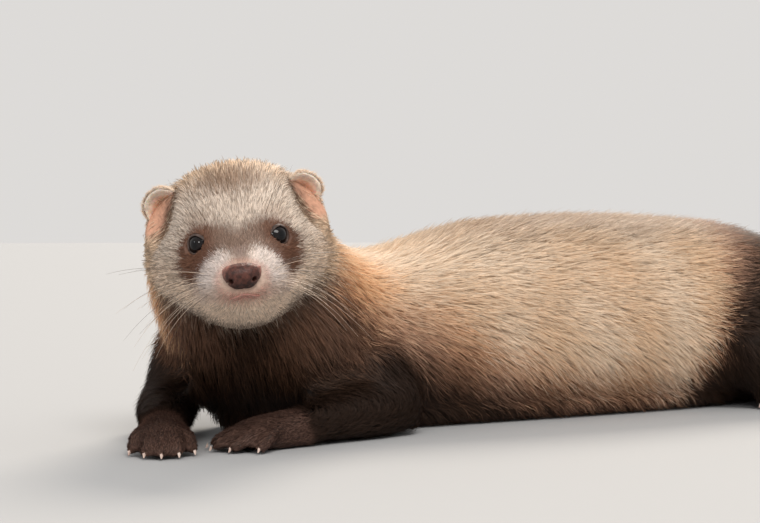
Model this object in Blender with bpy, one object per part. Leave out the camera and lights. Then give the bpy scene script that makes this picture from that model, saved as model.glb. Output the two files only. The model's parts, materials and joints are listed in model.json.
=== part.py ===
"""A life-size ferret lying on its chest, with its head raised and turned to its left.

Run with: blender --background --python part.py

The animal is laid out in millimetres in its body frame: x runs from the shoulders to the tail, y to its
right side and z up from the floor. At the end everything is turned into metres and set over the origin.
Every node is one closed solid, and a node that meets another is cut back from it by GAP.
"""

import math

import bmesh
import bpy
import numpy as np
from mathutils import Matrix, Vector
from mathutils.bvhtree import BVHTree

METRES_PER_MM = 0.001
GAP = 0.3
COARSE_GAP = 0.5
FLOOR_DEPTH = 60.0

# The head: where the middle of the eye line is, and how the head is turned from straight ahead.
EYE_LINE = Vector((-68.0, -57.0, 68.0))
HEAD_TURN = math.radians(60.5)
HEAD_ROLL = math.radians(6.6)

EYE_RADIUS = 4.2
EYE_CENTRE = Vector((-1.2, 11.2, -0.4))
EYE_OUTWARD = math.radians(42)
LID_WIDTH = 3.15
LID_HEIGHT = 2.75
LID_THICKNESS = 0.9

EAR_RADIUS = 11.4
EAR_DEPTH = 8.5
EAR_WALL = 1.7
EAR_CENTRE = Vector((-27.0, 22.6, 8.3))
EAR_OUTWARD = math.radians(40)

NOSE_CENTRE = Vector((22.8, 0.0, -11.2))
NOSE_SIZE = Vector((4.8, 7.1, 4.3))
NOSTRIL_SIDE = 3.7

# Colours of the coat and the bare parts, as linear RGB.
CREAM = (0.58, 0.45, 0.30)
PALE = (0.66, 0.55, 0.43)
SABLE = (0.035, 0.020, 0.014)
SEAL = (0.075, 0.042, 0.028)
LEATHER = (0.16, 0.065, 0.055)
EAR_PINK = (0.62, 0.33, 0.23)
EYE_BLACK = (0.008, 0.007, 0.008)
HORN = (0.62, 0.50, 0.44)


def clear_scene():
    for item in list(bpy.data.objects):
        bpy.data.objects.remove(item, do_unlink=True)


def finish(name, colour, roughness):
    """A material with the part's own colour and roughness."""
    material = bpy.data.materials.new(name)
    material.use_nodes = True
    shader = material.node_tree.nodes["Principled BSDF"]
    shader.inputs["Base Color"].default_value = (*colour, 1.0)
    shader.inputs["Roughness"].default_value = roughness
    shader.inputs["Metallic"].default_value = 0.0
    return material


def spline(knots, values, at):
    """A smooth curve through the values, with the slope at each knot taken from its neighbours."""
    slopes = np.gradient(values, knots, axis=0)
    i = np.clip(np.searchsorted(knots, at, side="right") - 1, 0, len(knots) - 2)
    step = (knots[i + 1] - knots[i])[:, None]
    t = (at - knots[i])[:, None] / step
    rise = values[i + 1] - values[i]
    ease = t * t * (3 - 2 * t)
    lead = t * (1 - t) ** 2 * step * slopes[i]
    lag = t * t * (t - 1) * step * slopes[i + 1]
    return values[i] + rise * ease + lead + lag


def add_mesh(name, points, faces):
    mesh = bpy.data.meshes.new(name)
    mesh.from_pydata([tuple(p) for p in points], [], faces)
    shape = bmesh.new()
    shape.from_mesh(mesh)
    bmesh.ops.recalc_face_normals(shape, faces=shape.faces)
    shape.to_mesh(mesh)
    shape.free()
    made = bpy.data.objects.new(name, mesh)
    bpy.context.scene.collection.objects.link(made)
    return made


def rounded(turn, power):
    """Cosine and sine of a turn, squared off as the power rises above 2."""
    c, s = math.cos(turn), math.sin(turn)
    return (
        math.copysign(abs(c) ** (2 / power), c),
        math.copysign(abs(s) ** (2 / power), s),
    )


def loft(name, rows, along, around, caps=(8.0, 8.0), cap_rings=3, upright=False):
    """A closed round form through sections (x, y, z, half width, height above, depth below, power).

    The sections stand across the line through their centres, or straight up where upright is set. Each
    end is closed by a rounded cap as long as caps says.
    """
    rows = np.array(rows, float)
    steps = np.linalg.norm(np.diff(rows[:, :3], axis=0), axis=1)
    knots = np.concatenate([[0.0], np.cumsum(steps)])
    body = spline(knots, rows, np.linspace(0, knots[-1], along))
    heading = np.gradient(body[:, :3], axis=0)
    if upright:
        heading[:, 2] = 0
    heading /= np.linalg.norm(heading, axis=1)[:, None]
    sections = []
    for k in range(1, cap_rings):
        a = k * math.pi / 2 / cap_rings
        sections.append((body[0, :3] - heading[0] * caps[0] * math.cos(a), 0, math.sin(a)))
    for k in range(along):
        sections.append((body[k, :3], k, 1.0))
    for k in range(cap_rings - 1, 0, -1):
        a = k * math.pi / 2 / cap_rings
        sections.append((body[-1, :3] + heading[-1] * caps[1] * math.cos(a), along - 1, math.sin(a)))
    points, faces = [], []
    for centre, k, scale in sections:
        forward = Vector(heading[k])
        side = forward.cross(Vector((0, 0, 1))).normalized()
        up = side.cross(forward)
        half, above, below, power = body[k, 3:7] * (scale, scale, scale, 1)
        for j in range(around):
            c, s = rounded(2 * math.pi * (j + 0.5) / around, power)
            reach = above if s > 0 else below
            points.append(Vector(centre) + side * (c * half) + up * (s * reach))
    for i in range(len(sections) - 1):
        for j in range(around):
            a, b = i * around + j, i * around + (j + 1) % around
            faces.append((a, b, b + around, a + around))
    first, last = len(points), len(points) + 1
    points.append(Vector(body[0, :3] - heading[0] * caps[0]))
    points.append(Vector(body[-1, :3] + heading[-1] * caps[1]))
    start = (len(sections) - 1) * around
    for j in range(around):
        following = (j + 1) % around
        faces.append((following, j, first))
        faces.append((start + j, start + following, last))
    return add_mesh(name, points, faces)


def ball(name, centre, radii, rings=10, around=14, turn=None):
    """An ellipsoid with its poles along its own x axis."""
    points, faces = [], []
    for i in range(1, rings):
        a = math.pi * i / rings
        for j in range(around):
            b = 2 * math.pi * j / around
            points.append(Vector((math.cos(a), math.sin(a) * math.cos(b), math.sin(a) * math.sin(b))))
    points += [Vector((1, 0, 0)), Vector((-1, 0, 0))]
    for i in range(rings - 2):
        for j in range(around):
            a, b = i * around + j, i * around + (j + 1) % around
            faces.append((a, b, b + around, a + around))
    tip, tail, last = len(points) - 2, len(points) - 1, (rings - 2) * around
    for j in range(around):
        following = (j + 1) % around
        faces.append((following, j, tip))
        faces.append((last + j, last + following, tail))
    turn = turn or Matrix.Identity(3)
    size = Matrix.Diagonal(Vector(radii))
    return add_mesh(name, [turn @ (size @ p) + Vector(centre) for p in points], faces)


def sweep(name, line, radii, around=6, closed=False):
    """A tube along the points of a line, with a flat end or joined to its own start."""
    line = [Vector(p) for p in line]
    count = len(line)
    points, faces = [], []
    normal = None
    for i, p in enumerate(line):
        before = line[i - 1] if closed or i else p
        after = line[(i + 1) % count] if closed or i + 1 < count else p
        forward = (after - before).normalized()
        if normal is None:
            normal = forward.orthogonal().normalized()
        normal = (normal - forward * normal.dot(forward)).normalized()
        side = forward.cross(normal)
        for j in range(around):
            a = 2 * math.pi * j / around
            points.append(p + (normal * math.cos(a) + side * math.sin(a)) * radii[i])
    for i in range(count if closed else count - 1):
        for j in range(around):
            k, following = (i + 1) % count, (j + 1) % around
            faces.append((i * around + j, i * around + following, k * around + following, k * around + j))
    if not closed:
        faces.append(tuple(range(around))[::-1])
        faces.append(tuple((count - 1) * around + j for j in range(around)))
    return add_mesh(name, points, faces)


def press(item, dents):
    """Raises or lowers the surface round each (centre, radii, height), fading out as a bell does."""
    mesh = item.data
    points = np.array([v.co for v in mesh.vertices])
    normals = np.array([v.normal for v in mesh.vertices])
    shift = np.zeros(len(points))
    for centre, radii, height in dents:
        away = (points - np.array(centre)) / np.array(radii)
        shift += height * np.exp(-(away**2).sum(axis=1))
    for v, p in zip(mesh.vertices, points + normals * shift[:, None]):
        v.co = p
    mesh.update()


def place(item, matrix):
    item.data.transform(matrix)
    item.data.update()
    return item


def swollen(item, by=GAP):
    """A copy of a solid, moved out along its normals."""
    copy = item.copy()
    copy.data = item.data.copy()
    bpy.context.scene.collection.objects.link(copy)
    normals = [v.normal.copy() for v in copy.data.vertices]
    for v, normal in zip(copy.data.vertices, normals):
        v.co += normal * by
    return copy


def combine(item, others, operation, solver="EXACT"):
    """Joins or cuts a solid with closed meshes, which are then removed, and keeps its largest closed surface."""
    group = bpy.data.collections.new("tools")
    for other in others:
        for owner in other.users_collection:
            owner.objects.unlink(other)
        group.objects.link(other)
    modifier = item.modifiers.new("combine", "BOOLEAN")
    modifier.operand_type = "COLLECTION"
    modifier.collection = group
    modifier.operation = operation
    modifier.solver = solver
    bpy.context.view_layer.update()
    graph = bpy.context.evaluated_depsgraph_get()
    made = bpy.data.meshes.new_from_object(item.evaluated_get(graph))
    item.modifiers.clear()
    item.data = made
    for other in others:
        bpy.data.objects.remove(other, do_unlink=True)
    bpy.data.collections.remove(group)
    keep_largest(item)
    return item


def keep_largest(item):
    """Deletes every closed surface but the largest, after points that coincide are merged."""
    shape = bmesh.new()
    shape.from_mesh(item.data)
    bmesh.ops.remove_doubles(shape, verts=shape.verts, dist=0.002)
    bmesh.ops.triangulate(shape, faces=shape.faces)
    shape.faces.ensure_lookup_table()
    seen, islands = set(), []
    for face in shape.faces:
        if face in seen:
            continue
        island, edge = [], [face]
        seen.add(face)
        while edge:
            f = edge.pop()
            island.append(f)
            for link in (e for e in f.edges for e in e.link_faces):
                if link not in seen:
                    seen.add(link)
                    edge.append(link)
        volume = sum(
            f.verts[0].co.dot(f.verts[1].co.cross(f.verts[2].co)) for f in island
        )
        islands.append((abs(volume), island))
    islands.sort(key=lambda pair: -pair[0])
    for _, island in islands[1:]:
        bmesh.ops.delete(shape, geom=island, context="FACES")
    loose = [v for v in shape.verts if not v.link_faces]
    bmesh.ops.delete(shape, geom=loose, context="VERTS")
    shape.to_mesh(item.data)
    shape.free()


def floor_cutter():
    """A block with its top at the floor, which gives everything that rests there its flat."""
    size = 900.0
    corners = [(x, y, z) for z in (-FLOOR_DEPTH, 0.0) for y in (-size, size) for x in (-size, size)]
    faces = [(0, 1, 3, 2), (4, 6, 7, 5), (0, 4, 5, 1), (1, 5, 7, 3), (3, 7, 6, 2), (2, 6, 4, 0)]
    return add_mesh("floor_cutter", corners, faces)


def head_matrix():
    """From the head's own frame (x forward, y to its left, z up, from the eye line) to the body frame."""
    turn = Matrix.Rotation(math.pi + HEAD_TURN, 4, "Z")
    roll = Matrix.Rotation(HEAD_ROLL, 4, "X")
    return Matrix.Translation(EYE_LINE) @ turn @ roll


def mirrored(point, side):
    return Vector((point[0], point[1] * side, point[2]))


def eye_direction(side):
    return Vector((math.cos(EYE_OUTWARD), side * math.sin(EYE_OUTWARD), 0.06)).normalized()


def head_form(along, around):
    """Skull, muzzle, cheeks and jaw as one form, out to the tips of the coat."""
    rows = [
        (21.0, 0, -12.6, 8.0, 5.2, 5.4, 2.3),
        (18.0, 0, -13.0, 11.4, 8.6, 8.4, 2.2),
        (13.0, 0, -13.0, 13.4, 11.4, 10.8, 2.1),
        (7.0, 0, -11.0, 15.6, 13.2, 15.7, 2.05),
        (0.0, 0, -7.5, 19.8, 15.4, 21.1, 2.0),
        (-8.0, 0, -5.0, 25.0, 19.8, 24.4, 2.0),
        (-18.0, 0, -3.5, 29.4, 25.0, 25.0, 1.95),
        (-28.0, 0, -2.5, 32.8, 28.9, 25.0, 1.9),
        (-38.0, 0, -1.0, 34.0, 28.3, 24.6, 1.95),
        (-47.0, 0, 0.5, 30.5, 24.6, 22.4, 2.0),
    ]
    head = loft("head", rows, along=along, around=around, caps=(3.0, 13.0), upright=True)
    features = [((12.0, 0, -24.5), (7, 7, 5), 0.9)]
    for side in (-1, 1):
        features += [
            ((3.0, side * 15.0, 0.0), (5.0, 4.2, 4.2), -1.3),
            ((-1.0, side * 11.5, 7.4), (5.0, 5.0, 3.6), 0.9),
            ((17.0, side * 9.5, -15.5), (5.5, 5.0, 4.5), 1.3),
            ((6.0, side * 16.0, -9.5), (5.0, 4.0, 4.5), -0.9),
            ((-15.5, side * 25.0, 9.0), (9.0, 6.5, 10.0), -3.6),
            ((-24.5, side * 28.0, 7.5), (8.0, 8.0, 10.5), -8.0),
            ((-24.0, side * 26.0, -13.0), (12.0, 8.0, 8.0), 1.2),
        ]
    press(head, features)
    return head


def make_head():
    """The head with its lids, lips, the line of the mouth and the eye sockets."""
    head = head_form(26, 36)
    surface = BVHTree.FromObject(head, bpy.context.evaluated_depsgraph_get())
    additions, cuts = [], []
    for side in (-1, 1):
        centre = mirrored(EYE_CENTRE, side)
        additions.append(ball("lids", centre, (EYE_RADIUS + LID_THICKNESS,) * 3, 12, 16, eye_turn(side)))
        cuts.append(ball("socket", centre, (EYE_RADIUS + GAP,) * 3, 12, 16, eye_turn(side)))
        cuts.append(lid_opening(side))
    additions += lips(surface)
    combine(head, additions, "UNION")
    combine(head, cuts + [mouth_slit(surface)], "DIFFERENCE")
    return head


def eye_turn(side):
    """Turns the x axis to where an eye looks."""
    return eye_direction(side).to_track_quat("X", "Z").to_matrix()


def lid_opening(side):
    """What is cut out between the lids, an oval drawn out to a point at the corner by the nose."""
    turn = eye_turn(side)
    centre = mirrored(EYE_CENTRE, side)
    steps = 16
    points = []
    for reach in (1.0, 9.0):
        for i in range(steps):
            a = 2 * math.pi * i / steps
            towards_nose = max(0.0, -math.cos(a) * side)
            width = LID_WIDTH * (1 + 0.24 * towards_nose**6)
            flare = 1.0 if reach < 5 else 1.25
            points.append(
                centre + turn @ Vector((reach, math.cos(a) * width * flare, math.sin(a) * LID_HEIGHT * flare))
            )
    faces = [tuple(range(steps)), tuple(range(2 * steps - 1, steps - 1, -1))]
    for i in range(steps):
        k = (i + 1) % steps
        faces.append((i, i + steps, k + steps, k))
    return add_mesh("lid_opening", points, faces)


MOUTH_CENTRE = Vector((7.0, 0.0, -15.5))
MOUTH_HEIGHT = -17.6
MOUTH_CORNER_HEIGHT = -19.6
MOUTH_SWEEP = math.radians(68)


def mouth_line(surface, lift, steps=17):
    """Points along the mouth, on the skin, with lift raising the line above the parting of the lips."""
    line = []
    for i in range(steps):
        share = 2 * i / (steps - 1) - 1
        turn = share * MOUTH_SWEEP
        dip = 0.7 * math.exp(-((share / 0.14) ** 2))
        height = MOUTH_HEIGHT + (MOUTH_CORNER_HEIGHT - MOUTH_HEIGHT) * abs(share) ** 1.5 + dip + lift
        start = Vector((MOUTH_CENTRE.x, 0.0, height))
        hit = surface.ray_cast(start, Vector((math.cos(turn), math.sin(turn), 0.0)))
        line.append(hit[0])
    return line


def lips(surface):
    """The upper and the lower lip, two low rolls that thin out to the corners of the mouth."""
    made = []
    for lift, thickness in ((0.62, 0.85), (-0.62, 0.80)):
        line = mouth_line(surface, lift)
        middle = (len(line) - 1) / 2
        radii = [thickness * (1 - 0.7 * (abs(i - middle) / middle) ** 2) for i in range(len(line))]
        inward = [p + (MOUTH_CENTRE - p).normalized() * 0.45 for p in line]
        made.append(sweep("lip", inward, radii, around=6))
    return made


def mouth_slit(surface):
    """The thin wedge that is cut out to part the lips."""
    line = mouth_line(surface, 0.0)
    points, faces = [], []
    for p in line:
        out = (p - MOUTH_CENTRE)
        out.z = 0
        out.normalize()
        for reach, half in ((1.9, 0.36), (-1.5, 0.12)):
            for tilt in (-1, 1):
                points.append(p + out * reach + Vector((0, 0, tilt * half)))
    order = (0, 1, 3, 2)
    for i in range(len(line) - 1):
        for a, b in zip(order, order[1:] + order[:1]):
            faces.append((i * 4 + a, i * 4 + b, i * 4 + 4 + b, i * 4 + 4 + a))
    faces.append(tuple(order))
    faces.append(tuple((len(line) - 1) * 4 + a for a in reversed(order)))
    return add_mesh("mouth_slit", points, faces)


def make_nose():
    """The nose leather, wider above than below, with a groove down its middle and two nostrils."""
    nose = ball("nose", (0, 0, 0), (1, 1, 1), rings=10, around=20)
    for v in nose.data.vertices:
        p = v.co.copy()
        flat = math.hypot(p.y, p.z)
        if flat > 1e-6:
            corner = max(abs(p.y), abs(p.z)) / flat
            p.y /= corner**0.35
            p.z /= corner**0.35
        taper = 0.84 + 0.17 * p.z
        lean = 0.12 * p.z - 0.22 * p.y * p.y
        v.co = Vector(
            (
                NOSE_CENTRE.x + (p.x + lean) * NOSE_SIZE.x,
                p.y * taper * NOSE_SIZE.y,
                NOSE_CENTRE.z + p.z * NOSE_SIZE.z,
            )
        )
    nose.data.update()
    front = NOSE_CENTRE.x + NOSE_SIZE.x
    grooves = [
        ((front, 0, NOSE_CENTRE.z - 3.2), (3.0, 0.9, 3.0), -0.8),
        ((front, 0, NOSE_CENTRE.z - 4.4), (4.0, 1.3, 1.6), -0.5),
    ]
    for side in (-1, 1):
        grooves.append(((front - 1.5, side * 4.4, NOSE_CENTRE.z + 0.4), (2.5, 1.8, 2.2), 0.35))
    press(nose, grooves)
    cuts = []
    for side in (-1, 1):
        inward = Matrix.Rotation(side * math.radians(28), 3, "Z")
        mouth = Vector((front - 1.4, side * NOSTRIL_SIDE, NOSE_CENTRE.z - 0.9))
        cuts.append(ball("nostril", mouth, (2.3, 1.0, 0.85), 6, 8, inward))
        slit = Vector((front - 2.6, side * (NOSTRIL_SIDE + 1.6), NOSE_CENTRE.z - 1.4))
        cuts.append(ball("nostril_slit", slit, (1.5, 1.6, 0.42), 6, 8, inward))
    return combine(nose, cuts, "DIFFERENCE")


def make_ear(side):
    """A round cup with a thick rim, facing forward and out, its inner half sunk in the fur of the head."""
    rings, around = 5, 22
    facing = Matrix.Rotation(side * EAR_OUTWARD, 4, "Z")
    points, faces = [], []
    layers = []
    for inner in (False, True):
        for i in range(rings):
            a = (math.pi / 2) * (i + (0.5 if inner else 0.0)) / rings
            layers.append((inner, a))
    outer = [a for inner, a in layers if not inner]
    shell = [(EAR_RADIUS, EAR_DEPTH, a) for a in outer]
    cup = [(EAR_RADIUS - EAR_WALL, EAR_DEPTH - EAR_WALL, a) for a in reversed(outer)]
    rim_lift = EAR_WALL * 0.45
    profile = []
    for radius, depth, a in shell[::-1]:
        profile.append((-depth * math.sin(a), radius * math.cos(a)))
    profile.append((rim_lift, EAR_RADIUS - EAR_WALL * 0.5))
    for radius, depth, a in cup[::-1]:
        profile.append((-depth * math.sin(a), radius * math.cos(a)))
    for x, r in profile:
        for j in range(around):
            b = 2 * math.pi * j / around
            stretch = 1.0 + 0.06 * math.cos(2 * b)
            points.append(Vector((x, r * math.sin(b) * stretch, r * math.cos(b))))
    count = len(profile)
    for i in range(count - 1):
        for j in range(around):
            a, b = i * around + j, i * around + (j + 1) % around
            faces.append((a, b, b + around, a + around))
    points.append(Vector((-EAR_DEPTH, 0, 0)))
    points.append(Vector((-EAR_DEPTH + EAR_WALL, 0, 0)))
    for j in range(around):
        following = (j + 1) % around
        faces.append((following, j, len(points) - 2))
        faces.append(((count - 1) * around + j, (count - 1) * around + following, len(points) - 1))
    name = "ear_left" if side > 0 else "ear_right"
    ear = add_mesh(name, points, faces)
    return place(ear, Matrix.Translation(mirrored(EAR_CENTRE, side)) @ facing)


def make_trunk():
    """Neck, chest, belly and rump as one form along the spine, from inside the head to the root of the tail."""
    rows = [
        (-57, -39.5, 69.0, 23.0, 19.0, 22.0, 2.0),
        (-50.5, -26.2, 64.0, 31.0, 23.5, 30.0, 2.0),
        (-39.5, -14.2, 56.5, 36.6, 24.4, 38.5, 2.05),
        (-24.5, -5.7, 47.5, 38.5, 25.6, 43.5, 2.15),
        (-8, -1, 40.0, 38.0, 27.5, 42.0, 2.25),
        (10, 0, 34.5, 37.0, 30.8, 39.0, 2.3),
        (32, 0, 31.0, 37.0, 37.5, 35.0, 2.3),
        (60, 0, 30.0, 39.5, 44.5, 34.0, 2.3),
        (100, 0, 30.5, 43.5, 47.3, 34.5, 2.3),
        (150, 0, 31.0, 45.5, 46.5, 35.0, 2.3),
        (195, 0, 30.5, 42.0, 43.0, 34.0, 2.2),
        (224, 0, 28.0, 35.0, 36.0, 31.0, 2.1),
        (246, 0, 24.5, 22.5, 22.5, 25.0, 2.0),
    ]
    trunk = loft("trunk", rows, along=40, around=26, caps=(8, 11), cap_rings=4)
    hollows = [((-26, 14, 10), (20, 18, 14), 7.0)]
    for side in (-1, 1):
        hollows.append(((62, side * 38, 30), (14, 10, 16), -1.2))
    press(trunk, hollows)
    return trunk


def split_across(item, cuts):
    """Parts a long solid with thin cuts, each a point and the way back from it, into lengths from front to back."""
    names = ["neck", "chest", "belly", "rump"]
    bounds = [None, *cuts, None]
    pieces = []
    for name, low, high in zip(names, bounds, bounds[1:]):
        piece = item.copy()
        piece.data = item.data.copy()
        piece.name = name
        bpy.context.scene.collection.objects.link(piece)
        shape = bmesh.new()
        shape.from_mesh(piece.data)
        for bound, facing in ((low, -1), (high, 1)):
            if bound is None:
                continue
            at, back = Vector(bound[0]), Vector(bound[1]).normalized()
            cut = bmesh.ops.bisect_plane(
                shape,
                geom=shape.verts[:] + shape.edges[:] + shape.faces[:],
                plane_co=at - back * (facing * GAP / 2),
                plane_no=back * facing,
                clear_outer=True,
            )
            rim = [e for e in cut["geom_cut"] if isinstance(e, bmesh.types.BMEdge)]
            bmesh.ops.holes_fill(shape, edges=rim)
        bmesh.ops.triangulate(shape, faces=shape.faces)
        bmesh.ops.recalc_face_normals(shape, faces=shape.faces)
        shape.to_mesh(piece.data)
        shape.free()
        keep_largest(piece)
        pieces.append(piece)
    bpy.data.objects.remove(item, do_unlink=True)
    return pieces


def make_foreleg(name, shoulder, elbow, wrist):
    """Upper arm and forearm, joined at the elbow."""
    shoulder, elbow, wrist = Vector(shoulder), Vector(elbow), Vector(wrist)
    upper_rows = []
    for share, half, rise in ((0.0, 13, 14), (0.5, 14, 14), (1.0, 11.4, 10.4)):
        p = shoulder.lerp(elbow, share)
        upper_rows.append((*p, half, rise, rise, 2.0))
    lower_rows = []
    for share, half, rise in ((0.0, 10.6, 9.4), (0.35, 11.0, 9.8), (0.75, 9.2, 8.0), (1.0, 8.4, 7.0)):
        p = elbow.lerp(wrist, share)
        lower_rows.append((*p, half, rise, rise, 2.1))
    leg = loft(name, upper_rows, along=5, around=14, caps=(10, 9))
    forearm = loft("forearm", lower_rows, along=6, around=14, caps=(9, 5))
    return combine(leg, [forearm], "UNION")


def make_hindleg(side):
    """Thigh and knee tucked against the flank, and the shank that runs back to the heel."""
    name = "hindleg_left" if side < 0 else "hindleg_right"
    thigh_rows = [
        (216, side * 22, 38, 19, 22, 24, 2.0),
        (202, side * 30, 33, 20, 25, 24, 2.0),
        (184, side * 37, 26, 18.5, 22, 20, 2.0),
        (169, side * 41, 20, 14, 15, 15, 2.0),
    ]
    shank_rows = [
        (174, side * 43, 16, 11, 12, 12, 2.0),
        (199, side * 46, 13.5, 11, 12, 11, 2.0),
        (219, side * 48, 10.5, 9.6, 10, 10, 2.0),
        (226, side * 49, 8, 8.6, 8, 8, 2.0),
    ]
    leg = loft(name, thigh_rows, along=7, around=14, caps=(14, 9))
    shank = loft("shank", shank_rows, along=5, around=10, caps=(8, 8))
    return combine(leg, [shank], "UNION")


TOE_SPREAD = (-0.52, -0.24, 0.0, 0.24, 0.50)
TOE_REACH = (0.70, 0.94, 1.0, 0.95, 0.76)
TOE_HALF = 2.75
TOE_LENGTH = 13.5


def toe_line(knuckle, heading, spread, reach, length):
    """Knuckle, bend and tip of one toe."""
    turn = Matrix.Rotation(spread, 3, "Z")
    forward = turn @ heading
    span = length * reach
    return [
        knuckle - forward * 3.0 + Vector((0, 0, 0.6)),
        knuckle + forward * (span * 0.42) + Vector((0, 0, 0.9)),
        knuckle + forward * (span * 0.80) + Vector((0, 0, -1.6)),
        knuckle + forward * span + Vector((0, 0, -2.6)),
    ]


def make_paw(name, heel, heading, length, half_width, toe_length, spread_scale=1.0):
    """A foot with five furred toes. Returns the paw and where each claw grows, with its direction."""
    heading = Vector(heading).normalized()
    across = heading.cross(Vector((0, 0, 1)))
    heel = Vector(heel)
    ball_of_foot = heel + heading * (length - toe_length)
    rows = []
    for share, half, rise in ((0.0, 0.78, 7.2), (0.5, 0.9, 7.0), (1.0, 1.0, 5.6)):
        p = heel.lerp(ball_of_foot, share)
        rows.append((p.x, p.y, 5.4 - 0.6 * share, half_width * half, rise, 6.4, 2.3))
    paw = loft(name, rows, along=5, around=14, caps=(5, 5.5))
    toes, claws = [], []
    for i, (spread, reach) in enumerate(zip(TOE_SPREAD, TOE_REACH)):
        place_across = (i - 2) / 2 * (half_width - TOE_HALF * 0.75)
        back = 3.2 * abs(i - 2) ** 1.6 / 2
        knuckle = ball_of_foot - across * place_across - heading * back + Vector((0, 0, 4.8))
        line = toe_line(knuckle, heading, spread * spread_scale, reach, toe_length)
        toe_rows = [
            (*line[0], TOE_HALF * 0.9, 3.4, 3.4, 2.0),
            (*line[1], TOE_HALF, 3.3, 3.3, 2.0),
            (*line[2], TOE_HALF, 2.9, 3.1, 2.0),
            (*line[3], TOE_HALF * 0.86, 2.5, 2.5, 2.0),
        ]
        toes.append(loft("toe", toe_rows, along=4, around=7, caps=(1.5, 1.8), cap_rings=2))
        forward = (line[3] - line[2]).normalized()
        claws.append((line[3] + Vector((0, 0, 0.7)), forward))
    combine(paw, toes, "UNION")
    return paw, claws


CLAW_LENGTH = 5.8
CLAW_RADIUS = 1.05


def make_claw(name, root, forward):
    """A curved claw that grows out of the toe's top and bends down to just above the floor."""
    level = Vector((forward.x, forward.y, 0)).normalized()
    steps = 4
    line, radii = [], []
    for i in range(steps):
        share = i / (steps - 1)
        bend = math.radians(8 - 62 * share)
        if i == 0:
            p = root - level * 1.0
        else:
            p = line[-1] + (level * math.cos(bend) + Vector((0, 0, math.sin(bend)))) * (CLAW_LENGTH / steps)
        line.append(p)
        radii.append(CLAW_RADIUS * (1 - share) ** 0.75 + 0.18)
    lowest = min(p.z - r for p, r in zip(line, radii))
    rise = max(0.0, 0.25 - lowest)
    line = [p + Vector((0, 0, rise)) for p in line]
    return sweep(name, line, radii, around=5)


def make_tail():
    rows = [
        (250, 0, 17, 13.5, 13.5, 13.5, 2.0),
        (275, -2, 14.5, 14.0, 14.0, 14.5, 2.0),
        (310, -9, 13.5, 14.5, 14.0, 14.0, 2.0),
        (345, -10, 12.5, 13.5, 13.0, 13.0, 2.0),
        (372, -3, 10.2, 10.8, 10.4, 10.8, 2.0),
        (390, 4, 7.6, 7.0, 6.8, 8.2, 2.0),
        (403, 10, 5.2, 3.2, 3.0, 4.2, 2.0),
    ]
    return loft("tail", rows, along=16, around=14, caps=(8, 5))


def main():
    clear_scene()
    to_body = head_matrix()
    head, nose = make_head(), make_nose()
    ears = [make_ear(side) for side in (1, -1)]
    eyes = [
        ball(name, mirrored(EYE_CENTRE, side), (EYE_RADIUS,) * 3, 12, 16, eye_turn(side))
        for name, side in (("eye_left", 1), ("eye_right", -1))
    ]
    for part in (nose, *ears):
        combine(part, [swollen(head)], "DIFFERENCE")
    for part in (head, nose, *ears, *eyes):
        place(part, to_body)

    coarse_head = place(head_form(20, 30), to_body)
    trunk = make_trunk()
    legs = [
        make_foreleg("foreleg_left", (-6, -21, 33), (9, -34, 10), (-32, -42, 7.2)),
        make_foreleg("foreleg_right", (-42, 12, 36), (-53.5, 18.5, 10), (-73.5, -17, 7.2)),
        make_hindleg(-1),
        make_hindleg(1),
    ]
    tail = make_tail()
    paws, claws = [], []
    feet = [
        ("forepaw_left", (-34, -42.3), (-1, -0.02, 0), 34, 9.2, 14.0, 1.0),
        ("forepaw_right", (-75, -20), (-0.47, -0.88, 0), 34, 9.2, 14.0, 0.5),
        ("hindpaw_left", (219, -49), (-1, -0.09, 0), 47, 8.8, 15.0, 0.8),
        ("hindpaw_right", (219, 49), (-1, 0.09, 0), 47, 8.8, 15.0, 0.8),
    ]
    for name, heel, heading, length, half_width, toe_length, spread in feet:
        paw, roots = make_paw(name, (*heel, 0), heading, length, half_width, toe_length, spread)
        paws.append(paw)
        claws += [make_claw(f"{name}_claw_{i + 1}", *root) for i, root in enumerate(roots)]
    for paw, leg in zip(paws, legs):
        combine(leg, [swollen(paw)], "DIFFERENCE", solver="MANIFOLD")
    for part in (trunk, *legs, *paws, tail):
        combine(part, [floor_cutter()], "DIFFERENCE")
    combine(trunk, [swollen(coarse_head, COARSE_GAP)], "DIFFERENCE")
    bpy.data.objects.remove(coarse_head, do_unlink=True)
    for ear in ears:
        combine(trunk, [swollen(ear)], "DIFFERENCE")
    for paw in paws:
        for claw in claws:
            if claw.name.startswith(paw.name):
                combine(claw, [swollen(paw)], "DIFFERENCE")
    for limb in (*legs, *paws):
        combine(limb, [swollen(trunk)], "DIFFERENCE")
    combine(tail, [swollen(trunk)], "DIFFERENCE")
    combine(tail, [swollen(legs[2])], "DIFFERENCE")
    torso = split_across(
        trunk, (((-20, -4, 45), (0.86, 0.25, -0.44)), ((44, 0, 30), (1, 0, 0)), ((160, 0, 30), (1, 0, 0)))
    )

    coat = finish("coat", CREAM, 0.8)
    face = finish("face_coat", PALE, 0.8)
    dark = finish("dark_coat", SABLE, 0.8)
    foot = finish("foot_coat", SEAL, 0.8)
    skin = finish("ear_skin", EAR_PINK, 0.6)
    leather = finish("nose_leather", LEATHER, 0.45)
    black = finish("eye_black", EYE_BLACK, 0.05)
    horn = finish("claw_horn", HORN, 0.4)
    painted = {
        face: [head],
        coat: torso[2:],
        dark: [*torso[:2], tail, *legs],
        foot: paws,
        skin: ears,
        leather: [nose],
        black: eyes,
        horn: claws,
    }
    for material, items in painted.items():
        for item in items:
            item.data.materials.clear()
            item.data.materials.append(material)
    set_over_origin([item for items in painted.values() for item in items])


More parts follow.
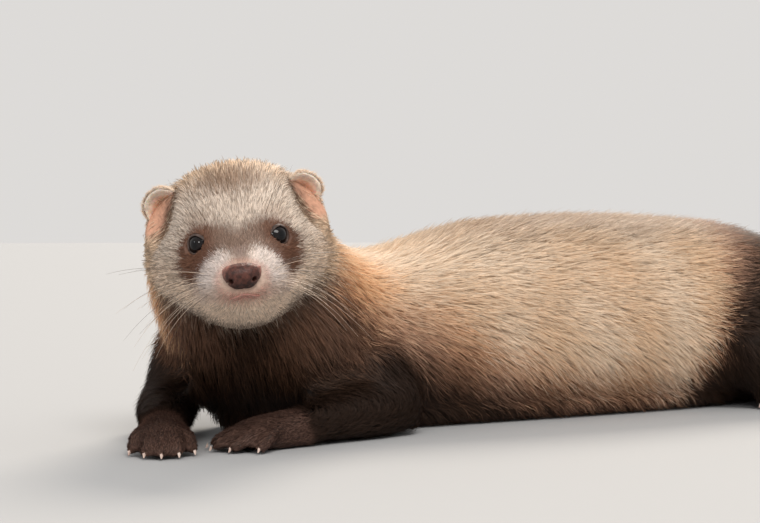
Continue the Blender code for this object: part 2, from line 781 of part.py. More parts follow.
def set_over_origin(items):
    """Turns millimetres into metres, with the middle of the box at x = y = 0 and its bottom on the floor."""
    points = np.array([v.co for item in items for v in item.data.vertices])
    low, high = points.min(axis=0), points.max(axis=0)
    middle = (low + high) / 2
    shift = Matrix.Translation(Vector((-middle[0], -middle[1], 0.0)))
    to_metres = Matrix.Scale(METRES_PER_MM, 4) @ shift
    for item in items:
        item.data.transform(to_metres)
        item.data.shade_smooth()
        item.data.set_sharp_from_angle(angle=math.radians(50))


main()
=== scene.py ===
import json
import math

import bmesh
import bpy
import numpy as np
from mathutils import Matrix, Vector
from mathutils.bvhtree import BVHTree
from mathutils.kdtree import KDTree

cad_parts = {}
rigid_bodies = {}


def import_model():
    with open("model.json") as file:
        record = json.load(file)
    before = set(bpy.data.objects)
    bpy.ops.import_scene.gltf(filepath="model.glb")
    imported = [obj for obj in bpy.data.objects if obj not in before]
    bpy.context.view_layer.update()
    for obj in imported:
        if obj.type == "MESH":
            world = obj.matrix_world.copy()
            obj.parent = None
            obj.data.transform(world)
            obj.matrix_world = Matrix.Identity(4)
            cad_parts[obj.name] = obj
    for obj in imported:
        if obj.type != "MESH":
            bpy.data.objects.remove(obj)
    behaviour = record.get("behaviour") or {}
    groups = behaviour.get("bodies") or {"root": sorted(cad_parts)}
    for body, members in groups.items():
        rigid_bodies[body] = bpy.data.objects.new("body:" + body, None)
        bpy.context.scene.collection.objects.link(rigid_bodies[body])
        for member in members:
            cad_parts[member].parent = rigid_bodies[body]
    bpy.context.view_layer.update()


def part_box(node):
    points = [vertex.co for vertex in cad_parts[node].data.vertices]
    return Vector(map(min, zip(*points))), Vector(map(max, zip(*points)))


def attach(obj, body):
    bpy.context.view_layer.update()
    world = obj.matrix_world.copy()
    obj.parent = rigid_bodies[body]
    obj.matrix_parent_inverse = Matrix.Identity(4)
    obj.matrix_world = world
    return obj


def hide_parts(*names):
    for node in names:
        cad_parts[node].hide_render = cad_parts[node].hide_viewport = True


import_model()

# The pose. The animal lies on its chest and looks to its left. Lengths on it are read in millimetres in
# the body's own frame, nose end at low x, and on the head from the middle between the eyes.
HEAD_TURN = math.radians(60.5)
HEAD_ROLL = math.radians(6.6)
EYE_LINE = Vector((-68.0, -57.0, 68.0))
EYE_CENTRE = Vector((-1.2, 11.2, -0.4))

head_frame = Matrix.Translation(EYE_LINE) @ Matrix.Rotation(math.pi + HEAD_TURN, 4, "Z")
head_frame = head_frame @ Matrix.Rotation(HEAD_ROLL, 4, "X")
head_axes = np.array(head_frame.to_3x3())
eye_corners = [Vector(corner) * 1000 for eye in ("eye_left", "eye_right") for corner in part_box(eye)]
between_eyes = sum(eye_corners, Vector()) / 4
body_shift = between_eyes - head_frame @ Vector((EYE_CENTRE.x, 0.0, EYE_CENTRE.z))


def on_body(points):
    """Places in metres, read in millimetres in the body's own frame."""
    return np.asarray(points) * 1000 - np.array(body_shift)


def on_head(points):
    """Places in metres, read in millimetres in the head's own frame, x forward and z up."""
    return (on_body(points) - np.array(EYE_LINE)) @ head_axes


def body_point(point):
    return (Vector(point) + body_shift) / 1000


def head_point(point):
    return body_point(head_frame @ Vector(point))


def head_way(direction):
    return (head_frame.to_3x3() @ Vector(direction)).normalized()


# The studio. A pale matt floor, a large soft lamp in front and above, one behind that lights the tips of the
# coat, a small weak one to the left, and a small one in front that glints in the eyes. The camera is level,
# close to the floor.
CAMERA_PLACE = (-345.3, -545.3, 73.0)
VIEW_ALONG = Vector((0.561, 0.828, 0.0))
VIEW_RIGHT = Vector((0.828, -0.561, 0.0))
UP = Vector((0, 0, 1))
FOCAL_PIXELS = 1794.0
PHOTO_SIZE = (760.0, 523.0)
HORIZON_ROW = 223.0
FILM_WIDTH = 36
FLOOR_RADIUS = 6.0
FLOOR_SIDES = 48
FLOOR_DROP = 0.0002
FLOOR_GREY = (0.368, 0.372, 0.378, 1)
AIR_COLOUR = (0.63, 0.615, 0.60, 1)
AIR_STRENGTH = 1.15


def linked(name, data):
    """A new object in the scene around this mesh, lamp or camera."""
    piece = bpy.data.objects.new(name, data)
    bpy.context.scene.collection.objects.link(piece)
    return piece


class Finish:
    """A material while it is mixed: its shader, and nodes that are fed with values or by other nodes."""

    def __init__(self, name, feeds):
        self.matter = bpy.data.materials.new(name)
        self.matter.use_nodes = True
        self.tree = self.matter.node_tree
        self.shader = self.tree.nodes["Principled BSDF"]
        self.feed(self.shader, feeds)

    def feed(self, node, feeds):
        """Sets a node's inputs to values, or joins them to what comes out of other nodes."""
        for name, source in feeds.items():
            if isinstance(source, bpy.types.NodeSocket):
                self.tree.links.new(source, node.inputs[name])
            else:
                node.inputs[name].default_value = source

    def add(self, kind, feeds=None):
        node = self.tree.nodes.new("ShaderNode" + kind)
        self.feed(node, feeds or {})
        return node

    def place(self):
        """Where on the piece a point is, in the piece's own frame."""
        return self.add("TexCoord").outputs["Object"]

    def mark(self, name):
        """What the piece's points carry under this name."""
        node = self.add("Attribute")
        node.attribute_name = name
        return node

    def grain(self, scale, detail=2.0):
        """Noise that stays where it is on the piece."""
        noise = self.add("TexNoise", {"Vector": self.place(), "Scale": scale, "Detail": detail})
        return noise.outputs["Fac"]

    def stretched(self, pattern, low, high, least, most):
        """A pattern whose values from low to high are spread to run from least to most."""
        ends = {"From Min": low, "From Max": high, "To Min": least, "To Max": most}
        return self.add("MapRange", {"Value": pattern, **ends}).outputs["Result"]

    def toned(self, pattern, low, dark, high, light):
        """The colours from dark to light, as a pattern goes from low to high."""
        tones = self.add("ValToRGB", {"Fac": pattern})
        for stop, (position, colour) in zip(tones.color_ramp.elements, ((low, dark), (high, light))):
            stop.position = position
            stop.color = (*colour, 1)
        return tones.outputs["Color"]

    def colour(self, source):
        self.feed(self.shader, {"Base Color": source})

    def tinted(self, pattern, share):
        """Gives the piece the colour painted on its points, times a pattern as far as share says."""
        tint = self.add("Mix")
        tint.data_type = "RGBA"
        tint.blend_type = "MULTIPLY"
        self.feed(tint, {"Factor": share, "A": self.mark("coat").outputs["Color"], "B": pattern})
        self.colour(tint.outputs["Result"])
        return tint.outputs["Result"]

    def raised(self, pattern, strength, distance):
        """Gives the piece fine relief after a pattern."""
        bump = self.add("Bump", {"Height": pattern, "Strength": strength, "Distance": distance})
        self.feed(self.shader, {"Normal": bump.outputs["Normal"]})


camera_data = bpy.data.cameras.new("camera")
camera_data.sensor_width = FILM_WIDTH
camera_data.lens = FOCAL_PIXELS / PHOTO_SIZE[0] * FILM_WIDTH
camera_data.shift_y = (HORIZON_ROW - PHOTO_SIZE[1] / 2) / PHOTO_SIZE[0]
camera = linked("camera", camera_data)
turned = Matrix((VIEW_RIGHT, UP, -VIEW_ALONG)).transposed()
camera.matrix_world = Matrix.Translation(body_point(CAMERA_PLACE)) @ turned.to_4x4()
bpy.context.scene.camera = camera

turns = [2 * math.pi * k / FLOOR_SIDES for k in range(FLOOR_SIDES)]
rim = [(FLOOR_RADIUS * math.cos(turn), FLOOR_RADIUS * math.sin(turn), -FLOOR_DROP) for turn in turns]
floor_mesh = bpy.data.meshes.new("studio_floor")
floor_mesh.from_pydata(rim, [], [tuple(range(FLOOR_SIDES))])
floor_matt = Finish("floor_matt", {"Base Color": FLOOR_GREY, "Roughness": 0.85})
floor_mesh.materials.append(floor_matt.matter)
studio_floor = linked("studio_floor", floor_mesh)

world = bpy.data.worlds.new("studio_air")
bpy.context.scene.world = world
world.use_nodes = True
world.node_tree.nodes["Background"].inputs["Color"].default_value = AIR_COLOUR
world.node_tree.nodes["Background"].inputs["Strength"].default_value = AIR_STRENGTH
bpy.context.scene.view_settings.view_transform = "Standard"


def soft_sun(name, way, strength, spread, colour):
    """A soft light that comes from the direction way, given as right, back and up of the camera."""
    data = bpy.data.lights.new(name, "SUN")
    data.energy = strength
    data.angle = math.radians(spread)
    data.color = colour
    source = VIEW_RIGHT * way[0] + VIEW_ALONG * way[1] + UP * way[2]
    linked(name, data).rotation_euler = source.to_track_quat("Z", "Y").to_euler()


soft_sun("front_light", (0.26, -0.77, 0.86), 2.2, 28, (1.0, 0.97, 0.93))
soft_sun("back_light", (0.25, 0.9, 0.75), 2.5, 24, (1.0, 0.90, 0.78))
soft_sun("side_light", (-0.85, -0.40, 0.40), 0.25, 6, (0.96, 0.98, 1.0))
soft_sun("catch_light", (-0.18, -0.89, 0.42), 0.5, 6.5, (1.0, 0.98, 0.96))


# The flesh under the coat: head, neck, trunk, legs, paws and tail as one closed skin. It is made by welding
# the forms of the solids into one, easing the creases where they meet, and drawing the whole in by the
# depth of the coat that stands on it, so that the tips of the hairs come out where the solids end.
FLESH = ("head", "neck", "chest", "belly", "rump", "tail", "foreleg_left", "foreleg_right", "hindleg_left",
         "hindleg_right", "forepaw_left", "forepaw_right", "hindpaw_left", "hindpaw_right")
SKIN_SWELL = 0.5
SKIN_GRAIN = 1.36
SAME_PLACE = 1e-6
STEPS_IN = 5
NOSE_CENTRE = (22.8, 0.0, -11.2)
EAR_CENTRE = (-27.0, 22.6, 8.3)
EAR_FACING = math.radians(40)
EAR_WAY = (math.cos(EAR_FACING), math.sin(EAR_FACING), 0.0)

# Heights on the head and how far out the dark hairs before the ear stand at them, and places along the body
# and how thick the tail is at them.
EAR_LINE = ((-1.0, 3.5, 6.4, 11.9, 16.9), (26.0, 24.6, 22.9, 21.2, 18.4))
TAIL_RADII = ((250, 345, 372, 390, 403), (13.5, 13.5, 10.8, 7.0, 3.0))


class Surface:
    """A mesh as arrays, in metres: points, triangles, the normals at the points and what joins them."""

    def __init__(self, mesh):
        self.points = np.empty(len(mesh.vertices) * 3)
        mesh.vertices.foreach_get("co", self.points)
        self.points = self.points.reshape(-1, 3)
        mesh.calc_loop_triangles()
        self.triangles = np.empty(len(mesh.loop_triangles) * 3, dtype=np.int32)
        mesh.loop_triangles.foreach_get("vertices", self.triangles)
        self.triangles = self.triangles.reshape(-1, 3)
        self.edges = np.empty(len(mesh.edges) * 2, dtype=np.int32)
        mesh.edges.foreach_get("vertices", self.edges)
        self.edges = self.edges.reshape(-1, 2)
        self.count = len(self.points)
        self.joined = np.bincount(self.edges.ravel(), minlength=self.count).clip(1)
        self.renew()

    def renew(self):
        a, b, c = (self.points[self.triangles[:, k]] for k in range(3))
        flat = np.cross(b - a, c - a)
        self.areas = np.linalg.norm(flat, axis=1) / 2
        self.normals = unit(self.gathered(self.triangles.ravel(), np.repeat(flat, 3, axis=0)))

    def gathered(self, places, values):
        columns = [np.bincount(places, values[:, k], self.count) for k in range(values.shape[1])]
        return np.stack(columns, axis=1)

    def eased(self, values, rounds):
        """values at the points, each drawn half way to the mean of its neighbours, rounds times over."""
        flat = values.ndim == 1
        values = values[:, None] if flat else values
        one, other = self.edges[:, 0], self.edges[:, 1]
        for _ in range(rounds):
            around = self.gathered(one, values[other]) + self.gathered(other, values[one])
            values = values + 0.5 * (around / self.joined[:, None] - values)
        return values[:, 0] if flat else values


def unit(vectors):
    return vectors / np.linalg.norm(vectors, axis=-1, keepdims=True).clip(1e-12)


def ramp(values, low, high):
    """0 at low, 1 at high, eased at both ends. low may be the larger."""
    t = np.clip((values - low) / (high - low), 0, 1)
    return t * t * (3 - 2 * t)


def reach_from(points, centre, radii=(1, 1, 1)):
    """How far points are from a centre, in shares of an ellipsoid's radii."""
    return np.linalg.norm((points - np.array(centre)) / np.array(radii), axis=1)


def blot(points, centre, radii, soft):
    """1 inside an ellipsoid, 0 outside it, with a soft edge."""
    return ramp(reach_from(points, centre, radii), 1 + soft, 1 - soft)


def merged_copy(node, swell=0.0):
    """A node's mesh as one connected surface, each point moved out by swell millimetres."""
    form = bmesh.new()
    form.from_mesh(bpy.data.objects[node].data)
    bmesh.ops.remove_doubles(form, verts=form.verts, dist=SAME_PLACE)
    form.normal_update()
    for corner, way in [(v, v.normal.copy()) for v in form.verts]:
        corner.co += way * swell / 1000
    return form


def settled(piece):
    """Puts the plain mesh that a piece's modifiers make in place of its own."""
    made = bpy.data.meshes.new_from_object(piece.evaluated_get(bpy.context.evaluated_depsgraph_get()))
    before = piece.data
    piece.modifiers.clear()
    piece.data = made
    made.name = piece.name
    bpy.data.meshes.remove(before)


def evened(piece, grain):
    """Makes a piece one closed surface of small even faces, grain millimetres wide."""
    weld = piece.modifiers.new("weld", "REMESH")
    weld.mode = "VOXEL"
    weld.voxel_size = grain / 1000
    weld.use_smooth_shade = True
    settled(piece)


def welded(name, nodes, swell, grain):
    """The nodes as one closed surface."""
    whole = bpy.data.meshes.new(name)
    joined = bmesh.new()
    for node in nodes:
        form = merged_copy(node, swell)
        form.to_mesh(whole)
        form.free()
        joined.from_mesh(whole)
    joined.to_mesh(whole)
    joined.free()
    piece = linked(name, whole)
    evened(piece, grain)
    return piece


def tree_of(points, triangles):
    return BVHTree.FromPolygons(points.tolist(), triangles.tolist())


def nearest(tree, points):
    """For each point: the closest place on the surface, the face there and how far it is."""
    found = [tree.find_nearest(p) for p in points.tolist()]
    places = np.array([f[0] for f in found])
    return places, np.array([f[2] for f in found]), np.array([f[3] for f in found])


skin = welded("skin", FLESH, SKIN_SWELL, SKIN_GRAIN)
hide = Surface(skin.data)

owner_points, owner_faces, owner_of_face = [], [], []
for number, node in enumerate(FLESH):
    form = merged_copy(node, SKIN_SWELL)
    first = sum(len(block) for block in owner_points)
    bmesh.ops.triangulate(form, faces=form.faces)
    owner_points.append(np.array([v.co[:] for v in form.verts]))
    owner_faces.append(np.array([[v.index + first for v in f.verts] for f in form.faces]))
    owner_of_face += [number] * len(form.faces)
    form.free()
owner_tree = tree_of(np.concatenate(owner_points), np.concatenate(owner_faces))
owner = np.array(owner_of_face)[nearest(owner_tree, hide.points)[1]]


def owned(*names):
    """1 at the skin's points that belong to these nodes."""
    return np.isin(owner, [FLESH.index(n) for n in names]).astype(float)


def on_side(place, s):
    """A place or a way given for the left of the head, there with s at 1 and on the right with s at -1."""
    return np.array((place[0], s * place[1], place[2]))


def before_ear(h):
    """How far outside the line of dark hairs in front of the ear a place is, in millimetres."""
    return np.abs(h[:, 1]) - np.interp(h[:, 2], *EAR_LINE)


def by_part(trunk, face, more_at_nape, legs, paws, tail):
    """A value for each of the skin's points after the part it belongs to."""
    values = np.full(hide.count, trunk)
    values = np.where(in_head > 0, face + more_at_nape * face_back, values)
    values = np.where(in_legs > 0, legs, values)
    values = np.where(in_paws > 0, paws, values)
    return np.where(in_tail > 0, tail, values)


LEGS = tuple(n for n in FLESH if "leg" in n)
PAWS = tuple(n for n in FLESH if "paw" in n)
in_head = owned("head")
in_legs = owned(*LEGS)
in_paws = owned(*PAWS)
in_tail = owned("tail")

body = on_body(hide.points)
head = on_head(hide.points)
face_back = ramp(head[:, 0], 10, -34)
tail_radius = np.interp(body[:, 0], *TAIL_RADII)
from_eyes = np.min([reach_from(head, on_side(EYE_CENTRE, s)) for s in (-1, 1)], axis=0)
from_nose = reach_from(head, NOSE_CENTRE, (1.0, 1.3, 1.0))
from_ears = np.full(hide.count, 1e3)
ear_front = np.zeros(hide.count)
for s in (-1, 1):
    off = head - on_side(EAR_CENTRE, s)
    away = np.linalg.norm(off, axis=1)
    ear_front = np.where(away < from_ears, off @ on_side(EAR_WAY, s), ear_front)
    from_ears = np.minimum(away, from_ears)

# The skin round the foot of each ear, and the hollow that the ear opens to.
by_ears = ramp(from_ears, 16.5, 11.5) * (0.6 + 0.4 * ramp(ear_front, -6, 0)) * (in_head > 0)
conch = ramp(from_ears, 12.8, 11.0) * np.maximum(ramp(ear_front, -3.0, -0.5), ramp(from_ears, 10.9, 10.0))
conch = conch * ramp(head[:, 2], 0.5, 6.0) * (in_head > 0)

# The depth of the coat in millimetres. It is less by the ears, where the animal lies on it, and round the
# bare rims of eyes and nose.
coat_depth = by_part(trunk=5.6, face=0.8, more_at_nape=3.6, legs=3.0, paws=1.0, tail=0.45 * tail_radius)
coat_depth = coat_depth * (1 - 0.88 * by_ears) * (1 - 0.6 * conch)
coat_depth = hide.eased(coat_depth, 14)
pressed = hide.eased(ramp(body[:, 2], 6.5, 1.5) * (hide.normals[:, 2] < -0.3), 4)
coat_depth = coat_depth * (1 - 0.75 * pressed)
bare = 1 - ramp(from_eyes, 5.2, 9.0) * ramp(from_nose, 6.0, 10.0) * (in_head > 0)
bare = np.where(in_head > 0, bare, 0)
coat_depth = coat_depth * (1 - 0.85 * bare)

hide.points = hide.eased(hide.points, 3)
hide.renew()
for _ in range(STEPS_IN):
    hide.points = hide.points - hide.normals * ((coat_depth + SKIN_SWELL) / 1000 / STEPS_IN)[:, None]
    calmer = hide.eased(hide.points, 2)
    calm = (ramp(coat_depth, 1.2, 4.0) * 0.9 + 0.1)[:, None]
    hide.points = hide.points * (1 - calm) + calmer * calm
    hide.renew()
skin.data.vertices.foreach_set("co", hide.points.ravel())
skin.data.update()


# The markings of a sable ferret, the same on skin and coat: a pale face with a brown mask over the eyes and
# the bridge of the nose, cream cheeks, warm cream behind the jaw, a near black throat, chest, legs and tail,
# and a cream back and flanks that darken towards shoulder, belly and haunch. Each hair is paler at its root.
CREAM = np.array((0.83, 0.63, 0.44))
PALE_CREAM = np.array((0.93, 0.81, 0.67))
PALE_FACE = np.array((0.80, 0.70, 0.61))
MUZZLE_WHITE = np.array((0.79, 0.71, 0.67))
MUZZLE_BEIGE = np.array((0.70, 0.57, 0.49))
CHEEK = np.array((0.95, 0.80, 0.66))
WARM = np.array((0.94, 0.61, 0.34))
MASK_BROWN = np.array((0.138, 0.053, 0.026))
BRIDGE_BROWN = np.array((0.215, 0.139, 0.103))
NOSE_STRIP = np.array((0.35, 0.255, 0.22))
EAR_PINK = np.array((0.72, 0.38, 0.25))
FAWN = np.array((0.33, 0.195, 0.118))
GUARD = np.array((0.36, 0.225, 0.135))
SABLE = np.array((0.022, 0.0125, 0.0085))
SABLE_BROWN = np.array((0.085, 0.041, 0.024))
PAW_BROWN = np.array((0.105, 0.060, 0.046))
LIP_PINK = np.array((0.66, 0.36, 0.29))
BACK_BROWN = np.array((0.36, 0.235, 0.155))

# The mask from the front: its soft edge, how high its lower and upper edges are at each distance from the
# middle, how far out it reaches at each height, and how much softer it is above.
MASK_EDGE = 1.3
MASK_LOWER = ((0, 5.5, 10.7, 14.2, 15.5, 21), (-4.2, -2.4, -5.8, -10.3, -13.6, -13.6))
MASK_UPPER = ((0, 5.0, 9.5, 13.5, 17.3, 19.6, 20.6), (3.2, 5.2, 5.9, 5.3, 2.6, -1.3, -4.0))
MASK_OUTER = ((-13.6, -12.1, -10.6, -7.0, -1.5, 3.2), (15.2, 16.6, 18.6, 19.8, 19.6, 16.9))
MASK_SOFTER = ((0, 8, 14), (2.6, 1.8, 1.4))

# How high the dark of the throat comes on the jaw, at each distance from the middle.
JAW_EDGE = ((0, 8, 13, 18, 26), (-26.5, -26.0, -22.5, -18.8, -17.6))

# Spots, each with its middle, its radii and how soft it is: first on the head, then on the body.
MUZZLE_LOBE = ((14.0, 8.5, -8.5), (9.5, 7.2, 6.8), 0.3)
CROWN_SPOT = ((-17.0, 0.0, 20.5), (8.5, 12.0, 7.5), 0.6)
BROW_SPOT = ((-2.0, 14.5, 8.5), (6.0, 5.5, 3.6), 0.5)
LIP_SPOT = ((20.5, 0.0, -16.8), (6.0, 6.5, 2.7), 0.8)
NECK_SPOT = ((-68.0, 0.0, 50.0), (11.0, 11.0, 19.0), 0.3)
# A spot on the chest under the head that is kept darker, as painted shade of the head.
SHADE_UNDER_HEAD = ((-52.0, -36.0, 36.0), (8.0, 12.0, 20.0), 0.6)
PALE_FLANK = ((35.0, -40.0, 62.0), (26.0, 26.0, 11.0), 0.7)
WARM_SPOTS = (
    ((-8.0, -36.0, 58.0), (22.0, 18.0, 13.0), 0.5),
    ((-66.0, 4.0, 50.0), (14.0, 14.0, 24.0), 0.5),
    ((-8.0, 24.0, 58.0), (24.0, 16.0, 14.0), 0.5),
)

# Places along the body, how high the dark underside comes there, and how soft its edge is.
DARK_PLACES = (-80, -28, -19, -7, 7, 25, 42, 60, 82, 100, 140, 152, 162, 175, 190, 215, 260)
DARK_HEIGHT = (57, 59, 56, 44, 39, 32, 24.5, 18.5, 14, 11, 9, 29, 56, 69, 79, 95, 120)
DARK_EDGE = (8, 7, 6.5, 9, 13, 18, 16, 12, 11, 10, 9, 12, 16, 18, 20, 24, 26)

# How much is left of red, green and blue from pale coat to dark.
FADE_STEPS = (0, 0.2, 0.4, 0.6, 0.8, 1.0)
FADE = (
    (1.0, 0.94, 0.83, 0.52, 0.22, 0.046),
    (1.0, 0.88, 0.68, 0.37, 0.148, 0.031),
    (1.0, 0.84, 0.59, 0.315, 0.126, 0.026),
)


def mixed(one, other, share):
    share = np.clip(share, 0, 1)[:, None]
    return one * (1 - share) + other * share


def patchy(points, size, seed):
    """Slow waves over the body between -1 and 1, for edges of markings that wander."""
    total = np.zeros(len(points))
    maker = np.random.default_rng(seed)
    for octave in range(3):
        ways = maker.normal(size=(4, 3))
        ways = ways / np.linalg.norm(ways, axis=1, keepdims=True) * (2 ** octave * 2 * math.pi / size)
        turns = maker.uniform(0, 2 * math.pi, 4)
        total += np.sin(points @ ways.T + turns).sum(axis=1) / 4 / 2 ** octave
    return total


def mask_share(h):
    """The brown mask in the head's frame, seen from the front: a band over both eyes and the bridge of the
    nose that runs down beside the white of the muzzle."""
    side, height = np.abs(h[:, 1]), h[:, 2]
    lower = np.interp(side, *MASK_LOWER)
    upper = np.interp(side, *MASK_UPPER)
    outer = np.interp(height, *MASK_OUTER)
    above = MASK_EDGE * np.interp(side, *MASK_SOFTER)
    band = ramp(height - lower, -MASK_EDGE, MASK_EDGE) * ramp(upper - height, -above, above * 0.8)
    return band * ramp(outer - side, -MASK_EDGE, MASK_EDGE) * ramp(h[:, 0], -13.0, -8.0)


def markings(points, head_share):
    """Colour of the hair's outer part and of its root, and how dark the animal is there, 0 to 1."""
    b = on_body(points)
    h = on_head(points)
    wander = patchy(b, size=38.0, seed=3) * 3.2
    ripple = patchy(b, size=9.0, seed=8)
    side = np.abs(h[:, 1])
    mirrored = np.stack([h[:, 0], side, h[:, 2]], axis=1)

    mask = mask_share(h + ripple[:, None] * 0.35)
    muzzle = ramp(h[:, 0], -1.0, 8.0) * ramp(h[:, 2], 1.0, -4.0)
    face = mixed(PALE_FACE, CHEEK, ramp(h[:, 2], 0.0, -9.0))
    face = mixed(face, CREAM, ramp(h[:, 0], -14, -30) * 0.8)
    face = mixed(face, MUZZLE_BEIGE, muzzle)
    face = mixed(face, MUZZLE_WHITE, blot(mirrored, *MUZZLE_LOBE))
    face = mixed(face, CHEEK, ramp(h[:, 2], -16.5, -19.5) * 0.9)
    face = mixed(face, FAWN, blot(h, *CROWN_SPOT) * 0.8)
    strip = ramp(np.abs(before_ear(h)), 2.3, 0.9) * ramp(h[:, 2], 0.5, 4.5) * ramp(h[:, 2], 20.5, 17.0)
    strip = strip * ramp(h[:, 0], -16.5, -21.0)
    face = mixed(face, MASK_BROWN, strip * 0.9)
    face = mixed(face, FAWN, blot(mirrored, *BROW_SPOT) * 0.35)
    mask_colour = mixed(BRIDGE_BROWN, MASK_BROWN, ramp(side, 5.0, 11.0))
    face = mixed(face, mask_colour, mask * 0.96)
    nose_strip = ramp(side, 3.4, 1.4) * ramp(h[:, 2], -1.5, -4.0) * ramp(h[:, 2], -12.0, -9.0)
    face = mixed(face, NOSE_STRIP, nose_strip * 0.85)
    jaw_edge = np.interp(side, *JAW_EDGE)
    throat = ramp(h[:, 2] + wander * 0.3, jaw_edge + 1.6, jaw_edge - 2.4) * ramp(h[:, 0], 19, 13)
    face = mixed(face, SABLE_BROWN, throat * 0.9)
    by_nose = reach_from(h, NOSE_CENTRE, (1.0, 1.35, 1.0))
    face = mixed(face, LIP_PINK, ramp(by_nose, 8.2, 5.4) * 0.5)
    face = mixed(face, LIP_PINK, blot(h, *LIP_SPOT) * 0.85)

    edge = np.interp(b[:, 0], DARK_PLACES, DARK_HEIGHT)
    soft = np.interp(b[:, 0], DARK_PLACES, DARK_EDGE)
    dark = np.clip((edge + soft - b[:, 2] - wander * 0.7) / (2 * soft), 0, 1)
    dark = dark * (1 - 0.9 * blot(b, *NECK_SPOT))
    # The dark of chest and throat is drawn a fifth lighter, except in the spot under the head, which is left
    # darker as painted shade.
    chest = ramp(b[:, 2], 20, 36) * ramp(b[:, 0], 20, -10)
    chest = chest * (1 - 0.9 * blot(b, *SHADE_UNDER_HEAD))
    dark = dark * (1 - 0.20 * chest)
    warm = np.max([blot(b, *spot) for spot in WARM_SPOTS], axis=0)
    back_line = ramp(b[:, 2] + wander * 0.5, 61, 76)
    trunk = mixed(CREAM, PALE_CREAM, ramp(wander, -2.5, 3.0) * 0.75)
    trunk = mixed(trunk, PALE_CREAM, blot(b, *PALE_FLANK) * 0.9)
    trunk = mixed(trunk, BACK_BROWN, back_line * 0.9)
    trunk = mixed(trunk, WARM, warm * 0.8)
    trunk = trunk * np.stack([np.interp(dark, FADE_STEPS, tone) for tone in FADE], axis=1)
    outer = mixed(trunk, face, head_share)
    dark = dark * (1 - head_share) + np.maximum(mask, throat) * head_share
    root = mixed(outer, outer * 0.5 + 0.45 * CREAM, (1 - dark) * 0.6)
    return outer, root, dark


def coloured(mesh, colours):
    """Paints the points of a mesh."""
    layer = mesh.color_attributes.new("coat", "FLOAT_COLOR", "POINT")
    flat = np.ones((len(colours), 4), dtype=np.float32)
    flat[:, :3] = colours
    layer.data.foreach_set("color", flat.ravel())


head_share = hide.eased(in_head, 10)
leg_share = hide.eased(in_legs, 6)
paw_share = hide.eased(in_paws, 6)
tail_share = hide.eased(in_tail, 6)
limb_share = np.clip(leg_share + paw_share + tail_share, 0, 1)


def hair_colours(points, shares):
    """Markings of the whole animal, with the dark brown of limbs and tail."""
    on_the_head, on_limb, on_paw = shares
    outer, root, dark = markings(points, on_the_head)
    outer = mixed(outer, SABLE * 1.5, on_limb)
    outer = mixed(outer, PAW_BROWN, on_paw)
    root = mixed(root, SABLE * 1.3, on_limb)
    root = mixed(root, PAW_BROWN * 0.8, on_paw)
    return outer, root, np.maximum(dark, on_limb)


hide_root = hair_colours(hide.points, (head_share, limb_share, paw_share))[1]
hollow = conch * ramp(before_ear(head), -0.8, 0.4)
in_hollow = before_ear(head) + patchy(body, size=4.0, seed=12) * 1.2
ear_inside = mixed(EAR_PINK * 0.5, EAR_PINK, ramp(in_hollow, 0.5, 4.5))
coloured(skin.data, mixed(hide_root * 0.85, ear_inside, hollow))

underfur = Finish("skin_and_underfur", {"Roughness": 0.8})
fuzz = underfur.grain(900, 4)
underfur.tinted(fuzz, 0.55)
underfur.raised(fuzz, 0.6, 0.0006)
skin.data.materials.append(underfur.matter)
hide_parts(*FLESH)
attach(skin, "root")


# The coat. Short silky hair, laid back from the nose over the head and down the body to the tail, in small
# pointed tufts of a few hairs. It is shortest on the muzzle and the paws and longest on flank and tail.
# Each hair is a flat tapering blade, rooted in the skin, that rises and then lies over along the body.
LONG_BLADE = {
    "steps": (0.0, 0.36, 0.70, 1.0),
    "rise": (-0.10, 0.52, 0.86, 1.0),
    "width": (0.95, 1.0, 0.74, 0.0),
}
SHORT_BLADE = {
    "steps": (0.0, 0.55, 1.0),
    "rise": (-0.10, 0.72, 1.0),
    "width": (0.95, 0.92, 0.0),
}
SHORT_RUN = 4.6
TRIANGLES_A_PIECE = 190000
TUFT_PATCH = 0.003
ROOT_SHARE = 0.4
TUFT_HAIRS = 5
GATHER = 0.27
UNREST = 0.065
FLOOR_GAP = 0.0003
UNWRAP_GRAIN = 3.5
HEAD_MIDDLE = (-14, 0, -2)
HEAD_REACH = 47
LONG_RUN = 10.5
THICK_TAIL = 13.5
LID_ZONE = (3.7, 3.2)
NOSE_ZONE = (5.4, 7.0, 5.0)
EYE_OUTWARD = math.radians(42)
EYE_WAY = (math.cos(EYE_OUTWARD), math.sin(EYE_OUTWARD), 0.06)
TAIL_LINE = ((250, 0, 17), (275, -2, 14.5), (310, -9, 13.5), (345, -10, 12.5), (372, -3, 10.2), (390, 4, 7.6),
             (403, 10, 5.2))

# How far a blade runs, and how wide it is and how many stand on a square millimetre there.
BLADE_WIDTHS = ((0.8, 2.0, 6.0, 10.0), (0.15, 0.18, 0.22, 0.27))
BLADE_DENSITY = ((0.8, 1.6, 3.5, 6.0, 10.0), (17.0, 13.0, 8.3, 5.0, 3.15))

# For each limb: which way its hair lies above and below a height, and that height.
LIMB_LIE = (
    ("foreleg_left", (0.4, -0.35, -0.8), (-1.0, -0.2, -0.15), 13),
    ("foreleg_right", (-0.4, 0.2, -0.8), (-0.45, -0.9, -0.15), 13),
    ("hindleg_left", (0.55, -0.2, -0.75), (0.7, -0.1, -0.6), 12),
    ("hindleg_right", (0.55, 0.2, -0.75), (0.7, 0.1, -0.6), 12),
    ("forepaw_left", (-1.0, -0.02, -0.25), (-1.0, -0.02, -0.25), 5),
    ("forepaw_right", (-0.46, -0.89, -0.25), (-0.46, -0.89, -0.25), 5),
    ("hindpaw_left", (-1.0, -0.09, -0.25), (-1.0, -0.09, -0.25), 5),
    ("hindpaw_right", (-1.0, 0.09, -0.25), (-1.0, 0.09, -0.25), 5),
)


